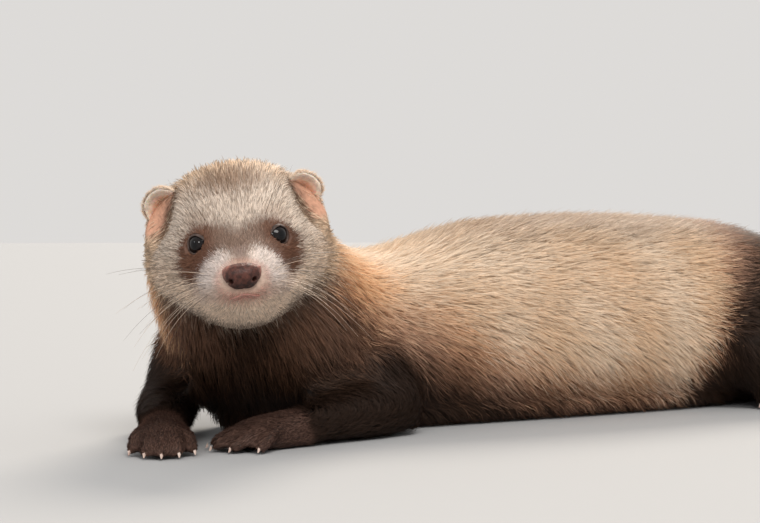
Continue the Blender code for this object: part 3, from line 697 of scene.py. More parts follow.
def lie_of_the_coat():
    """Which way the hair points at each of the skin's points, along the skin."""
    away = unit(head - np.array((25.0, 0.0, -13.0)))
    away = away + np.array((-0.25, 0, -0.05))
    for s in (-1, 1):
        eye = head - on_side(EYE_CENTRE, s)
        push = ramp(np.linalg.norm(eye, axis=1), 10.5, 5.0)[:, None]
        away = away + unit(eye) * push * 2.2
    lie = unit(away) @ head_axes.T
    trunk = np.tile((1.0, 0.0, -0.22), (hide.count, 1))
    trunk = trunk + np.array((0, 0, -0.45)) * ramp(body[:, 2], 50, 20)[:, None]
    front = ramp(body[:, 0], 20, -20)[:, None]
    trunk = trunk * (1 - front) + np.array((0.62, 0.42, -0.72)) * front
    lie = np.where(in_head[:, None] > 0, lie, unit(trunk))
    for name, upper, lower, level in LIMB_LIE:
        high = ramp(body[:, 2], level - 4, level + 4)[:, None]
        way = np.array(upper) * high + np.array(lower) * (1 - high)
        lie = np.where(owned(name)[:, None] > 0, unit(way), lie)
    line = np.array(TAIL_LINE, dtype=float)
    ways = np.gradient(line, axis=0)
    along = np.stack([np.interp(body[:, 0], line[:, 0], ways[:, k]) for k in range(3)], axis=1)
    lie = np.where(in_tail[:, None] > 0, unit(along), lie)
    beside = ramp(np.abs(head[:, 1]), 16.0, 20.0) * ramp(head[:, 0], -14, -20) * ramp(head[:, 2], -4, 3)
    beside = (beside * (in_head > 0) * ramp(from_ears, 18, 12))[:, None]
    outward = np.tile((-0.3, 0.8, -0.55), (hide.count, 1))
    outward[:, 1] *= np.sign(head[:, 1])
    lie = lie * (1 - beside) + unit(outward) @ head_axes.T * beside
    for _ in range(10):
        lie = hide.eased(lie, 3)
        lie = unit(lie - hide.normals * (lie * hide.normals).sum(axis=1, keepdims=True))
    return lie


def flat_places(surface, points, grain):
    """Where points lie on an unwrap of the surface, made on a coarser copy of its own shape."""
    copy = bpy.data.meshes.new("unwrap")
    copy.from_pydata(surface.points.tolist(), [], surface.triangles.tolist())
    piece = linked("unwrap", copy)
    evened(piece, grain)
    even = piece.data
    bpy.context.view_layer.objects.active = piece
    piece.select_set(True)
    bpy.ops.object.mode_set(mode="EDIT")
    bpy.ops.mesh.select_all(action="SELECT")
    bpy.ops.uv.smart_project(angle_limit=math.radians(60), island_margin=0.004)
    bpy.ops.object.mode_set(mode="OBJECT")
    even.calc_loop_triangles()
    corners = np.array([t.vertices[:] for t in even.loop_triangles])
    loops = np.array([t.loops[:] for t in even.loop_triangles])
    spots = np.empty(len(even.loops) * 2)
    even.uv_layers.active.data.foreach_get("uv", spots)
    spots = spots.reshape(-1, 2)
    places = np.empty(len(even.vertices) * 3)
    even.vertices.foreach_get("co", places)
    places = places.reshape(-1, 3)
    hits, faces, _ = nearest(tree_of(places, corners), points)
    shares = barycentric(hits, places[corners[faces]])
    bpy.data.objects.remove(piece)
    bpy.data.meshes.remove(even)
    return (spots[loops[faces]] * shares[:, :, None]).sum(axis=1)


def barycentric(points, triangles):
    a, b, c = triangles[:, 0], triangles[:, 1], triangles[:, 2]
    u, v, w = b - a, c - a, points - a
    uu, uv, vv = (u * u).sum(1), (u * v).sum(1), (v * v).sum(1)
    wu, wv = (w * u).sum(1), (w * v).sum(1)
    under = (uu * vv - uv * uv)
    under = np.where(np.abs(under) < 1e-20, 1e-20, under)
    second = (vv * wu - uv * wv) / under
    third = (uu * wv - uv * wu) / under
    return np.clip(np.stack([1 - second - third, second, third], axis=1), 0, 1)


def grown(surface, lie, density, fields, steps, seed):
    """Roots scattered over the surface, and the path over the skin that the tuft of each one follows.

    density is in hairs to the square millimetre at the points, and fields are other values at them, which
    come back read at the roots.
    """
    maker = np.random.default_rng(seed)
    weight = surface.areas * 1e6 * density[surface.triangles].mean(axis=1)
    ends = np.cumsum(weight)
    total = int(ends[-1])
    picks = (np.arange(total) + maker.uniform(0, 1, total)) / total * ends[-1]
    face = np.searchsorted(ends, picks).clip(0, len(weight) - 1)
    u, v = maker.uniform(0, 1, (2, total))
    over = u + v > 1
    u[over], v[over] = 1 - u[over], 1 - v[over]
    shares = np.stack([1 - u - v, u, v], axis=1)
    corners = surface.triangles[face]

    def read(values):
        if values.ndim == 1:
            return (values[corners] * shares).sum(axis=1)
        return (values[corners] * shares[:, :, None]).sum(axis=1)

    roots = read(surface.points)
    at_roots = {name: read(values) for name, values in fields.items()}
    leaders = np.sort(maker.choice(total, max(total // TUFT_HAIRS, 1), replace=False))
    finder = KDTree(len(leaders))
    for k, p in enumerate(roots[leaders].tolist()):
        finder.insert(p, k)
    finder.balance()
    tuft = np.array([finder.find(p)[1] for p in roots.tolist()])

    tree = tree_of(surface.points, surface.triangles)
    face_lie = unit(lie[surface.triangles].mean(axis=1))
    face_normal = unit(surface.normals[surface.triangles].mean(axis=1))
    spot = roots[leaders]
    on_face = face[leaders]
    run = at_roots["run"][leaders] / 1000
    path = [spot]
    normals = [face_normal[on_face]]
    wander = maker.normal(0, 0.12, len(leaders))
    for k in range(1, len(steps)):
        way = face_lie[on_face]
        across = np.cross(face_normal[on_face], way)
        way = unit(way + across * wander[:, None])
        reach = (run * (steps[k] - steps[k - 1]))[:, None]
        spot, on_face, _ = nearest(tree, spot + way * reach)
        path.append(spot)
        normals.append(face_normal[on_face])
    return roots, at_roots, tuft, leaders, np.stack(path, axis=1), np.stack(normals, axis=1), maker


def blades(surface, lie, density, fields, paint, shape, seed, gather=GATHER):
    """Roots of the blades, the places of each one's corners, in pairs with a tip, their normals, which follow
    the skin's so that the coat is shaded as one surface, and their colours."""
    steps = np.array(shape["steps"])
    rise = np.array(shape["rise"])
    taper = np.array(shape["width"])
    roots, values, tuft, leaders, path, normals, maker = grown(surface, lie, density, fields, steps, seed)
    total = len(roots)
    pairs = len(steps) - 1
    way = path[tuft] - path[tuft][:, :1]
    size = maker.normal(1.0, 0.15, total).clip(0.55, 1.35)
    guard = maker.uniform(0, 1, total) < values["guard"]
    size = np.where(guard, size * 1.12, size * 0.96)
    centre = roots[leaders][tuft]
    spread = (roots - centre)[:, None, :] * (1 - gather * steps ** 1.4)[None, :, None]
    height = values["depth"] * maker.uniform(0.5, 1.0, total) * np.where(guard, 1.08, 0.93) / 1000
    line = centre[:, None] + spread + way * size[:, None, None]
    line = line + normals[tuft] * (height[:, None] * rise[None, :])[:, :, None]
    length = values["run"] / 1000
    stray = maker.normal(0, UNREST, (total, 3)) * length[:, None]
    line = line + stray[:, None, :] * (steps ** 1.6)[None, :, None]
    line[:, :, 2] = np.maximum(line[:, :, 2], FLOOR_GAP)
    normal = normals[tuft]
    along = unit(np.gradient(line, axis=1))
    across = unit(np.cross(normal, along))
    roll = maker.uniform(-0.5, 0.5, total)[:, None, None]
    across = unit(across * np.cos(roll) + normal * np.sin(roll))
    half = values["width"] / 2000 * maker.uniform(0.7, 1.2, total)
    reach = across * (half[:, None] * taper[None, :])[:, :, None]
    corners = np.empty((total, 2 * pairs + 1, 3), dtype=np.float32)
    facing = np.empty((total, 2 * pairs + 1, 3), dtype=np.float32)
    tilt = maker.normal(0, 0.11, (total, 1, 3))
    shade = maker.normal(1.0, 1.0, total).clip(-1.5, 3.5)[:, None] - 1
    shade = 1 + shade * (0.045 + 0.07 * values.get("head", np.zeros(total)))[:, None]
    shade = shade * maker.normal(1.0, 0.03, len(leaders)).clip(0.9, 1.1)[tuft][:, None]
    outer, root, tip = paint(roots * 0.45 + line[:, pairs // 2 + 1] * 0.55, values, guard, maker)
    # The roots are painted a tenth darker, as painted shade down among the hairs.
    outer, root, tip = outer * shade, root * 0.9, tip * shade
    colours = np.empty((total, 2 * pairs + 1, 3), dtype=np.float32)
    for k in range(pairs):
        corners[:, 2 * k] = line[:, k] - reach[:, k]
        corners[:, 2 * k + 1] = line[:, k] + reach[:, k]
        facing[:, 2 * k] = unit(normal[:, k] + tilt[:, 0] - across[:, k] * 0.3)
        facing[:, 2 * k + 1] = unit(normal[:, k] + tilt[:, 0] + across[:, k] * 0.3)
        up = min(steps[k] / ROOT_SHARE, 1.0)
        out = max((steps[k] - ROOT_SHARE) / (1 - ROOT_SHARE), 0.0)
        colours[:, 2 * k] = (root * (1 - up) + outer * up) * (1 - out) + tip * out
        colours[:, 2 * k + 1] = colours[:, 2 * k]
    corners[:, -1] = line[:, pairs]
    facing[:, -1] = unit(normal[:, pairs] + tilt[:, 0])
    colours[:, -1] = tip
    return roots, corners, facing, colours


def blade_piece(name, places, corners, facing, colours):
    """One mesh of blades, with a small patch of the unwrap at each one's root."""
    total, size = corners.shape[:2]
    pairs = (size - 1) // 2
    pattern = []
    for k in range(pairs - 1):
        pattern += [2 * k, 2 * k + 2, 2 * k + 3, 2 * k + 1]
    pattern = np.array(pattern + [size - 3, size - 1, size - 2], dtype=np.int32)
    firsts = np.arange(total, dtype=np.int32)[:, None]
    mesh = bpy.data.meshes.new(name)
    mesh.vertices.add(total * size)
    mesh.vertices.foreach_set("co", corners.reshape(-1))
    loops = (firsts * size + pattern[None, :]).ravel()
    mesh.loops.add(len(loops))
    mesh.loops.foreach_set("vertex_index", loops)
    starts = (firsts * len(pattern) + 4 * np.arange(pairs, dtype=np.int32)).ravel()
    mesh.polygons.add(total * pairs)
    mesh.polygons.foreach_set("loop_start", starts)
    mesh.update(calc_edges=True)
    mesh.polygons.foreach_set("use_smooth", np.ones(total * pairs, dtype=bool))
    coloured(mesh, colours.reshape(-1, 3))
    lean = mesh.attributes.new("custom_normal", "FLOAT_VECTOR", "POINT")
    lean.data.foreach_set("vector", facing.reshape(-1))
    layer = mesh.uv_layers.new(name="OFBake")
    high = np.repeat(np.linspace(-1, 1, pairs + 1), 2)[:size]
    wide = np.array([-1, 1] * pairs + [0])
    patch = np.stack([wide, high], axis=1)[pattern] * TUFT_PATCH / 2
    centre = places.clip(TUFT_PATCH, 1 - TUFT_PATCH)
    spots = (centre[:, None, :] + patch[None, :, :]).astype(np.float32)
    layer.data.foreach_set("uv", spots.ravel())
    mesh.materials.append(fur.matter)
    piece = linked(name, mesh)
    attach(piece, "root")


def dressed(zones, tufts):
    """A piece for each zone of the skin, or several side by side where it holds too many blades for one."""
    roots, corners, facing, colours = tufts
    places = flat_places(hide, roots, UNWRAP_GRAIN)
    most = TRIANGLES_A_PIECE // (corners.shape[1] - 2)
    for name, chosen in zones.items():
        index = np.flatnonzero(chosen)
        parts = max(1, math.ceil(len(index) / most))
        order = index[np.argsort(corners[index, 0, 1], kind="stable")]
        for k, share in enumerate(np.array_split(order, parts)):
            label = name if parts == 1 else f"{name}_{k + 1}"
            blade_piece(label, places[share], corners[share], facing[share], colours[share])


# Hair has its own colour with fine streaks and a soft sheen, and some light comes through it.
fur = Finish("fur", {"Roughness": 0.5, "Specular IOR Level": 0.18})
hair_colour = fur.tinted(fur.stretched(fur.grain(420, 3), 0.3, 0.7, 0.90, 1.05), 1.0)
through = fur.add("BsdfTranslucent", {"Color": hair_colour})
both = fur.add("MixShader", {"Fac": 0.42, 1: fur.shader.outputs["BSDF"], 2: through.outputs["BSDF"]})
fur.feed(fur.tree.nodes["Material Output"], {"Surface": both.outputs["Shader"]})

# How far over the skin each hair runs, in millimetres. It is short round eyes, nose and ears, and longer
# again in the fringe before the ear.
lie = lie_of_the_coat()
tail_run = LONG_RUN * (tail_radius / THICK_TAIL).clip(0.3, 1)
run = by_part(trunk=LONG_RUN, face=2.1, more_at_nape=5.6, legs=6.0, paws=2.2, tail=tail_run)
run = hide.eased(run, 12)
run = run * (1 - 0.45 * bare) * (1 - 0.5 * hide.eased(by_ears, 2))
ear_fringe = ramp(np.abs(before_ear(head) + 0.5), 2.6, 1.2) * (in_head > 0)
ear_fringe = ear_fringe * ramp(head[:, 0], -16, -21) * ramp(head[:, 2], -2, 3) * ramp(head[:, 2], 20, 16)
run = run * (1 - ear_fringe) + 3.3 * ear_fringe
blade_width = np.interp(run, *BLADE_WIDTHS)
density = np.interp(run, *BLADE_DENSITY)
shaded = ramp(hide.normals[:, 2], -0.35, -0.85)
density = density * (1 - 0.6 * shaded)
density = density * (1 - 0.35 * ramp(body[:, 0], 165, 215) * (1 - in_paws))

# No hair grows on the opening of the lids and the nose pad, and next to none in the hollow of the ear.
skin_on_head = on_head(hide.points)
lid_zone = np.zeros(hide.count)
for s in (-1, 1):
    ahead = unit(on_side(EYE_WAY, s))
    aside = unit(np.cross((0, 0, 1), ahead))
    above = np.cross(ahead, aside)
    off = skin_on_head - on_side(EYE_CENTRE, s)
    oval = np.hypot(off @ aside / LID_ZONE[0], off @ above / LID_ZONE[1])
    lid_zone = np.maximum(lid_zone, (oval < 1) & (off @ ahead > -1) & (off @ ahead < 9))
nose_zone = reach_from(skin_on_head, NOSE_CENTRE, NOSE_ZONE) < 1
density = np.where((lid_zone > 0) | nose_zone, 0.0, density)
density = density * (1 - 0.97 * conch * ramp(before_ear(head), -0.2, 0.8))

# The share of stiffer, darker guard hairs among the soft ones.
guard_share = 0.07 + 0.16 * ramp(body[:, 2], 54, 72) + 0.15 * ramp(body[:, 0], 150, 200)
guard_on_head = np.interp(head[:, 0], (-20, 0, 8), (0.24, 0.2, 0.03))
guard_share = guard_share * (1 - head_share) + head_share * guard_on_head
fields = {"run": run, "depth": coat_depth, "width": blade_width, "guard": guard_share, "head": head_share,
          "limb": limb_share, "paw": paw_share}


def painted(roots, values, guard, maker):
    """Colours of each hair, taken a little way off its middle, so that the markings' edges interlace."""
    reach = 0.00016 * values["run"] ** 1.3 * (1 + 0.6 * values["head"])
    stray = maker.normal(0, 1, roots.shape) * reach[:, None]
    outer, root, dark = hair_colours(roots + stray, (values["head"], values["limb"], values["paw"]))
    outer = outer * (1 + values["paw"] * (maker.uniform(-0.45, 0.75, len(roots))))[:, None]
    streak = mixed(outer * 0.68, GUARD * 0.45, values["head"])
    tip = mixed(streak, outer * 0.8, ramp(dark, 0.2, 0.7))
    # Dark hairs get tips painted up to twice as light at random: a painted highlight on the tips.
    lit = mixed(outer * 1.03, outer * 2.2, ramp(dark, 0.5, 1.0) * maker.uniform(0, 1, len(roots)))
    middle = np.where(guard[:, None], outer * 0.6 + tip * 0.4, outer)
    return middle, root, np.where(guard[:, None], tip, lit)


short_here = hide.eased((run < SHORT_RUN).astype(float), 3)
tufts = blades(hide, lie, density * short_here, fields, painted, SHORT_BLADE, seed=11)
b, h = on_body(tufts[0]), on_head(tufts[0])
by_head = reach_from(h, HEAD_MIDDLE) < HEAD_REACH
dressed({
    "coat_face": by_head & (h[:, 0] > -6),
    "coat_crown": by_head & (h[:, 0] <= -6),
    "coat_fore_feet": ~by_head & (b[:, 0] < 80),
    "coat_hind_feet": ~by_head & (b[:, 0] >= 80),
}, tufts)

tufts = blades(hide, lie, density * (1 - short_here), fields, painted, LONG_BLADE, seed=12)
b, h = on_body(tufts[0]), on_head(tufts[0])
by_head = (h[:, 0] > -52) & (reach_from(h, HEAD_MIDDLE) < HEAD_REACH) & (b[:, 0] < -10)
zones = {"coat_cheeks": by_head}
cuts = (-300, 10, 70, 120, 170, 238, 700)
for k, name in enumerate(("shoulder", "ribs", "flank", "loin", "haunch", "tail")):
    zones[f"coat_{name}"] = ~by_head & (b[:, 0] >= cuts[k]) & (b[:, 0] < cuts[k + 1])
dressed(zones, tufts)


# Ears. Low round cups of thin skin, set wide on the head and seated in its skin, bare and warm pink inside,
# edged and backed with short cream hair. The dark hairs that stand before them are part of the coat.
EAR_PALE = np.array((0.93, 0.82, 0.72))
EAR_BACK = np.array((0.92, 0.77, 0.62))
EAR_LINING = np.array((0.90, 0.66, 0.50))
EAR_SEAT = 0.0005
EAR_UNWRAP_GRAIN = 1.2

ear_skin = Finish("ear_skin_warm", {"Roughness": 0.55, "Subsurface Weight": 0.35, "Subsurface Scale": 0.003})
blush = ear_skin.toned(ear_skin.grain(160, 5), 0.3, (0.84, 0.76, 0.72), 0.7, (1.0, 1.0, 1.0))
ear_skin.tinted(blush, 1.0)
hide_tree = tree_of(hide.points, hide.triangles)


def shaped(name, node, finish, grain, rounds, draw_in):
    """A node's own form in fine even faces, drawn in a little, in place of the node."""
    piece = welded(name, (node,), 0.0, grain)
    form = Surface(piece.data)
    form.points = form.eased(form.points, rounds)
    form.renew()
    form.points = form.points - form.normals * draw_in / 1000
    form.renew()
    piece.data.vertices.foreach_set("co", form.points.ravel())
    piece.data.update()
    piece.data.materials.clear()
    piece.data.materials.append(finish.matter)
    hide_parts(node)
    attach(piece, "root")
    return piece, form


def ear_paint(roots, values, guard, maker):
    # The roots are painted a little darker, as painted shade among the hairs.
    return values["hue"], values["hue"] * 0.92, values["hue"] * np.where(guard, 0.8, 1.0)[:, None]


for side_name, s in (("left", 1), ("right", -1)):
    ear, cup = shaped(f"ear_cup_{side_name}", f"ear_{side_name}", ear_skin,
                      grain=0.4, rounds=6, draw_in=0.25)
    on_skin, faces, gap = nearest(hide_tree, cup.points)
    seat = ramp(gap * 1000, 4.2, 1.8)[:, None]
    sunk = on_skin - unit(hide.normals[hide.triangles[faces]].mean(axis=1)) * EAR_SEAT
    cup.points = cup.points * (1 - seat) + sunk * seat
    cup.renew()
    ear.data.vertices.foreach_set("co", cup.points.ravel())

    at = on_head(cup.points) - on_side(EAR_CENTRE, s)
    open_way = on_side(EAR_WAY, s)
    forward = at @ open_way
    radial = at - forward[:, None] * open_way
    normal = cup.normals @ head_axes
    inner = ramp((normal * (open_way * 0.8 - unit(radial) * 0.6)).sum(axis=1), 0.0, 0.5)
    rim_share = ramp(forward, np.quantile(forward, 0.90) - 2.6, np.quantile(forward, 0.97))
    deep = ramp(forward, 0.5, -6.0)
    lining = mixed(EAR_LINING, EAR_PINK, ramp(rim_share + 1 - deep, 1.1, 0.2))
    coloured(ear.data, mixed(lining, EAR_PALE, np.maximum(rim_share, 1 - inner) * 0.9))

    lie_ear = unit(radial) * 0.8 + open_way * (1 - inner)[:, None] * 0.8 + np.array((-0.3, 0, 0.15))
    lie_ear = unit(lie_ear) @ head_axes.T
    lie_ear = unit(lie_ear - cup.normals * (lie_ear * cup.normals).sum(axis=1, keepdims=True) * 0.8)
    ear_density = 9.0 * (1 - inner) + 12.0 * rim_share + 0.8 * inner
    ear_fields = {
        "run": 3.4 - 2.0 * rim_share - 1.0 * inner,
        "depth": 1.9 - 1.2 * rim_share - 0.6 * inner,
        "width": np.full(cup.count, 0.18),
        "hue": mixed(EAR_BACK, EAR_PALE, np.maximum(rim_share, inner)),
        "guard": np.full(cup.count, 0.1),
    }
    tufts = blades(cup, lie_ear, ear_density, ear_fields, ear_paint, SHORT_BLADE, seed=21 + s, gather=0.15)
    blade_piece(f"ear_hair_{side_name}", flat_places(cup, tufts[0], EAR_UNWRAP_GRAIN), *tufts[1:])


# Nose. A bare pad of dark reddish brown leather with fine round pebbles, pinker round its edge, parted by a
# groove below, with a comma shaped nostril on each side.
NOSE_RADII = (4.8, 7.1, 4.3)
NOSE_BROWN = np.array((0.060, 0.020, 0.014))
NOSE_RIM = np.array((0.34, 0.145, 0.11))
NOSTRIL_SHADE = np.array((0.026, 0.007, 0.004))

nose_leather = Finish("nose_leather_brown", {"Roughness": 0.5, "Specular IOR Level": 0.3})
nose_leather.tinted(nose_leather.stretched(nose_leather.grain(800, 4), 0.38, 0.66, 0.50, 1.60), 1.0)
pebbles = nose_leather.add("TexVoronoi", {"Vector": nose_leather.place(), "Scale": 2100})
nose_leather.raised(pebbles.outputs["Distance"], 0.5, 0.0002)

nose, pad = shaped("nose_pad", "nose", nose_leather, grain=0.22, rounds=3, draw_in=0.0)
at = (on_head(pad.points) - np.array(NOSE_CENTRE)) / np.array(NOSE_RADII)
edge = ramp(np.hypot(at[:, 1], at[:, 2] * 0.75), 0.66, 0.95)
leather = mixed(NOSE_BROWN, NOSE_RIM, edge * 0.75)
# The lower middle of the pad, where the nostrils open, is painted near black as painted shade under the nose
# and in the nostrils.
below = ramp(at[:, 2], -0.25, -0.75) * ramp(np.abs(at[:, 1]), 0.95, 0.5)
coloured(nose.data, mixed(leather, NOSTRIL_SHADE, below))


# Eyes. Round dark globes with a clear bulging front over a black brown iris, in a narrow opening between
# bare grey rims of the lids.
EYE_RADIUS = 4.2
EYE_EASE = 0.08
GLOBE_RINGS = 24
GLOBE_SIDES = 40
POLE_GAP = 0.02
POLE_MERGE = 1e-7
BULGE = 0.055
BULGE_ANGLE = 0.52
PUPIL_BLACK = np.array((0.003, 0.003, 0.004))
IRIS_BROWN = np.array((0.011, 0.008, 0.008))
EYE_EDGE = np.array((0.12, 0.085, 0.075))
LID_WIDTH = 3.15
LID_HEIGHT = 2.75
LID_SIDES = 48

# Round the lid from its inner lip over its rim to its back: its share of the opening's size, and how far it
# stands over the globe.
LID_PROFILE = ((0.97, 0.02), (1.0, 0.28), (1.06, 0.46), (1.16, 0.50), (1.30, 0.35), (1.42, 0.0), (1.42, -0.6),
               (1.15, -0.6), (1.0, -0.3))

eye_gloss = Finish("eye_black_brown", {"Roughness": 0.04, "Specular IOR Level": 0.24})
eye_gloss.tinted(eye_gloss.grain(1500), 0.6)
lid_skin = Finish("lid_skin_grey", {"Roughness": 0.6, "Specular IOR Level": 0.3})
wrinkles = lid_skin.grain(700)
lid_skin.colour(lid_skin.toned(wrinkles, 0.35, (0.030, 0.018, 0.014), 0.65, (0.10, 0.068, 0.058)))
lid_skin.raised(wrinkles, 0.4, 0.0002)


def grid_piece(name, rows, finish, closed_rows=False):
    """Rows of points joined to a surface that runs round each row. Points are in metres."""
    count, around = len(rows), len(rows[0])
    faces = []
    for r in range(count if closed_rows else count - 1):
        below = (r + 1) % count
        for k in range(around):
            n = (k + 1) % around
            faces.append((r * around + k, r * around + n, below * around + n, below * around + k))
    if not closed_rows:
        faces += [tuple(range(around))[::-1], tuple(range((count - 1) * around, count * around))]
    mesh = bpy.data.meshes.new(name)
    mesh.from_pydata([tuple(p) for row in rows for p in row], [], faces)
    form = bmesh.new()
    form.from_mesh(mesh)
    bmesh.ops.remove_doubles(form, verts=form.verts, dist=POLE_MERGE)
    bmesh.ops.recalc_face_normals(form, faces=form.faces)
    form.to_mesh(mesh)
    form.free()
    mesh.polygons.foreach_set("use_smooth", [True] * len(mesh.polygons))
    mesh.materials.append(finish.matter)
    return linked(name, mesh)


for side_name, s in (("left", 1), ("right", -1)):
    centre = Vector(on_side(EYE_CENTRE, s))
    ahead = Vector(on_side(EYE_WAY, s)).normalized()
    aside = UP.cross(ahead).normalized()
    above = ahead.cross(aside)
    globe = []
    for r in range(GLOBE_RINGS + 1):
        a = math.pi * (r + POLE_GAP) / (GLOBE_RINGS + 2 * POLE_GAP)
        bulge = 1 + BULGE * math.exp(-((a / BULGE_ANGLE) ** 4))
        radius = (EYE_RADIUS - EYE_EASE) * bulge
        row = []
        for k in range(GLOBE_SIDES):
            turn = 2 * math.pi * k / GLOBE_SIDES
            p = ahead * math.cos(a) + (aside * math.cos(turn) + above * math.sin(turn)) * math.sin(a)
            row.append(head_point(centre + p * radius))
        globe.append(row)
    eye = grid_piece(f"eye_globe_{side_name}", globe, eye_gloss)
    off = on_head([v.co[:] for v in eye.data.vertices]) - np.array(centre)
    angle = np.degrees(np.arccos(np.clip(unit(off) @ np.array(ahead), -1, 1)))
    iris = mixed(PUPIL_BLACK, IRIS_BROWN, ramp(angle, 17, 24) * ramp(angle, 46, 38))
    coloured(eye.data, mixed(iris, EYE_EDGE, ramp(angle, 50, 62)))
    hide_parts(f"eye_{side_name}")
    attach(eye, "root")

    rounds = []
    for wide, lift in LID_PROFILE:
        row = []
        for k in range(LID_SIDES):
            turn = 2 * math.pi * k / LID_SIDES
            to_nose = max(0.0, -math.cos(turn) * s)
            y = math.cos(turn) * LID_WIDTH * wide * (1 + 0.2 * to_nose ** 6)
            z = math.sin(turn) * LID_HEIGHT * wide
            radius = EYE_RADIUS + lift
            x = math.sqrt(max(radius ** 2 - y * y - z * z, 0.3))
            row.append(head_point(centre + ahead * x + aside * y + above * z))
        rounds.append(row)
    lids = grid_piece(f"lids_{side_name}", rounds, lid_skin, closed_rows=True)
    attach(lids, "root")


# Lips. Two narrow bands of bare pink skin along the parting of the mouth, that rise a little under the groove
# of the nose and thin out to the sides, back under the hair of the whisker pads.
MOUTH_MIDDLE = 7.0
MOUTH_HEIGHT = -17.6
MOUTH_SPAN = math.radians(68)
LIP_STEPS = 33
LIP_SIDES = 12
LIP_SINK = 0.44
WELL_OUTSIDE = 40.0

lip_skin = Finish("lip_skin_pink", {"Roughness": 0.38, "Subsurface Weight": 0.2, "Subsurface Scale": 0.001})
lip_skin.colour(lip_skin.toned(lip_skin.grain(600), 0.35, (0.25, 0.105, 0.080), 0.68, (0.36, 0.175, 0.14)))

head_form = merged_copy("head")
head_tree = BVHTree.FromBMesh(head_form)
head_form.free()


def on_head_form(start, way):
    """Where a line from start meets the form of the head, in the head's frame, or None."""
    hit = head_tree.ray_cast(head_point(start), head_way(way))[0]
    return None if hit is None else Vector(on_head([hit[:]])[0])


def lip_line(lift, reach):
    """Places along the mouth in the head's frame, lift millimetres over the parting, and the share of the
    way out to the corner."""
    line = []
    for i in range(LIP_STEPS):
        share = (2 * i / (LIP_STEPS - 1) - 1) * reach
        turn = share * MOUTH_SPAN
        dip = 0.7 * math.exp(-((share / 0.14) ** 2))
        height = MOUTH_HEIGHT - 2.0 * abs(share) ** 1.5 + dip + lift
        start = (WELL_OUTSIDE * math.cos(turn) + MOUTH_MIDDLE, WELL_OUTSIDE * math.sin(turn), height)
        line.append((on_head_form(start, (-math.cos(turn), -math.sin(turn), 0.0)), share))
    return line


def lip_band(name, lift, reach, thick):
    """A rounded band along the mouth that thins out at both ends."""
    rows = []
    line = lip_line(lift, reach)
    for i, (place, share) in enumerate(line):
        before = line[max(i - 1, 0)][0]
        after = line[min(i + 1, len(line) - 1)][0]
        along = (after - before).normalized()
        out = Vector((place.x - MOUTH_MIDDLE, place.y, 0.0)).normalized()
        up = along.cross(out).normalized()
        full = math.sqrt(max(1 - (share / reach) ** 4, 0.002))
        row = []
        for k in range(LIP_SIDES):
            turn = 2 * math.pi * k / LIP_SIDES
            off = out * math.cos(turn) * thick * 0.9 + up * math.sin(turn) * thick
            row.append(head_point(place - out * LIP_SINK + off * full))
        rows.append(row)
    piece = grid_piece(name, rows, lip_skin)
    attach(piece, "root")


lip_band("upper_lip", lift=0.34, reach=0.27, thick=0.32)
lip_band("lower_lip", lift=-0.36, reach=0.23, thick=0.34)


# Whiskers. Long stiff tapering hairs in rows on the pads of the muzzle and a few over each eye, dark brown in
# the upper rows and mostly pale in the lower ones, that sweep out and back and bend down under their weight.
PAD_ROWS = 4
PAD_HAIRS = 5
BROW_HAIRS = 3
PALE_SHARE = (0.08, 0.25, 0.6, 0.85)
WHISKER_RADIUS = 0.048
WHISKER_TIP = 0.00002
WHISKER_SIDES = 4
WHISKER_POINTS = 11
WEIGHT = Vector((-0.25, 0, -1))

whisker_hair = Finish("whisker_hair", {"Roughness": 0.35})
paleness = whisker_hair.mark("paleness").outputs["Fac"]
whisker_hair.colour(whisker_hair.toned(paleness, 0.1, (0.060, 0.032, 0.020), 0.9, (0.62, 0.48, 0.37)))


def whisker_tree():
    """Turns lines into tapering round hairs, as thick as the attribute thickness says."""
    tree = bpy.data.node_groups.new("whisker_maker", "GeometryNodeTree")
    tree.interface.new_socket("Geometry", in_out="INPUT", socket_type="NodeSocketGeometry")
    sides = tree.interface.new_socket("Sides", in_out="INPUT", socket_type="NodeSocketInt")
    sides.default_value = WHISKER_SIDES
    tree.interface.new_socket("Geometry", in_out="OUTPUT", socket_type="NodeSocketGeometry")
    start = tree.nodes.new("NodeGroupInput")
    end = tree.nodes.new("NodeGroupOutput")
    to_curve = tree.nodes.new("GeometryNodeMeshToCurve")
    thickness = tree.nodes.new("GeometryNodeInputNamedAttribute")
    thickness.data_type = "FLOAT"
    thickness.inputs["Name"].default_value = "thickness"
    ring = tree.nodes.new("GeometryNodeCurvePrimitiveCircle")
    ring.inputs["Radius"].default_value = 1.0
    sweep = tree.nodes.new("GeometryNodeCurveToMesh")
    sweep.inputs["Fill Caps"].default_value = True
    real = tree.nodes.new("GeometryNodeRealizeInstances")
    paint = tree.nodes.new("GeometryNodeSetMaterial")
    paint.inputs["Material"].default_value = whisker_hair.matter
    for giver, given, taker, taken in (
        (start, "Geometry", to_curve, "Mesh"),
        (start, "Sides", ring, "Resolution"),
        (to_curve, "Curve", sweep, "Curve"),
        (ring, "Curve", sweep, "Profile Curve"),
        (thickness, "Attribute", sweep, "Scale"),
        (sweep, "Mesh", real, "Geometry"),
        (real, "Geometry", paint, "Geometry"),
        (paint, "Geometry", end, "Geometry"),
    ):
        tree.links.new(giver.outputs[given], taker.inputs[taken])
    return tree, sides.identifier


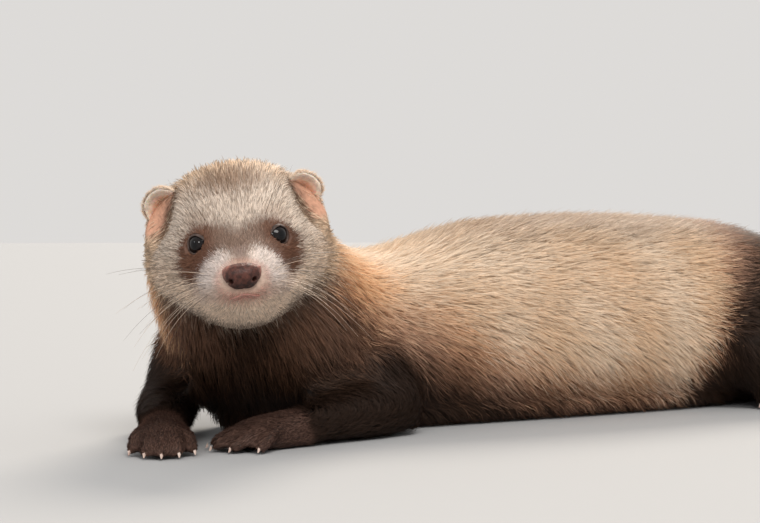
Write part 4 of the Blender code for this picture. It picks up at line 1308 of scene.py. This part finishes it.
def bent_hairs(name, plans):
    """Hairs from (root, way, length, sag, paleness) in the head's frame, as one mesh."""
    points, edges, widths, tones = [], [], [], []
    for root, way, length, sag, tone in plans:
        first = len(points)
        for k in range(WHISKER_POINTS):
            t = k / (WHISKER_POINTS - 1)
            place = Vector(root) + Vector(way).normalized() * (length * t) + WEIGHT * (sag * t * t)
            points.append(head_point(place))
            widths.append(WHISKER_RADIUS / 1000 * (1 - t) ** 0.8 + WHISKER_TIP)
            tones.append(min(1.0, tone + 0.15 * t))
            if k:
                edges.append((first + k - 1, first + k))
    lines = bpy.data.meshes.new(name + "_lines")
    lines.from_pydata(points, edges, [])
    for attribute, values in (("thickness", widths), ("paleness", tones)):
        lines.attributes.new(attribute, "FLOAT", "POINT").data.foreach_set("value", values)
    piece = linked(name, lines)
    tree, sides = whisker_tree()
    make = piece.modifiers.new("make", "NODES")
    make.node_group = tree
    make[sides] = WHISKER_SIDES
    settled(piece)
    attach(piece, "root")


maker = np.random.default_rng(5)
for side_name, s in (("left", 1), ("right", -1)):
    plans = []
    for row in range(PAD_ROWS):
        for k in range(PAD_HAIRS):
            x = 18.5 - 2.4 * k + maker.normal(0, 0.3)
            z = -9.6 - 2.2 * row + 0.25 * k + maker.normal(0, 0.3)
            root = on_head_form((x, s * WELL_OUTSIDE, z), (0, -s, 0))
            if root is None:
                continue
            root = root + Vector((0, -s * 0.6, 0))
            back = -0.15 - 0.16 * k + maker.normal(0, 0.08)
            rise = 0.28 - 0.22 * row + maker.normal(0, 0.06)
            tone = float(maker.uniform(0, 1) < PALE_SHARE[row])
            length = 15 + 4.4 * k + maker.normal(0, 2.5)
            plans.append((root, (back, s, rise), length, 3 + 2.2 * row + 1.1 * k, tone))
    for k in range(BROW_HAIRS):
        root = (1.5 - 1.6 * k, s * (9.5 + 1.8 * k), 7.0 + 0.4 * k)
        plans.append((root, (0.1 - 0.3 * k, s * 0.45, 1.0), 14 + 2 * k, 1.5, 0.0))
    bent_hairs(f"whiskers_{side_name}", plans)


# Claws. Short curved points of pale pinkish horn, a little mottled, that stay as the solids have them.
TOES = 5

claw_horn = Finish("claw_horn_pale", {"Roughness": 0.35})
mottle = claw_horn.grain(350, 3)
claw_horn.colour(claw_horn.toned(mottle, 0.3, (0.38, 0.26, 0.215), 0.7, (0.60, 0.48, 0.41)))
claw_horn.raised(mottle, 0.3, 0.0001)
for paw in PAWS:
    for toe in range(1, TOES + 1):
        claw = bpy.data.objects[f"{paw}_claw_{toe}"]
        for slot in claw.material_slots:
            slot.material = claw_horn.matter
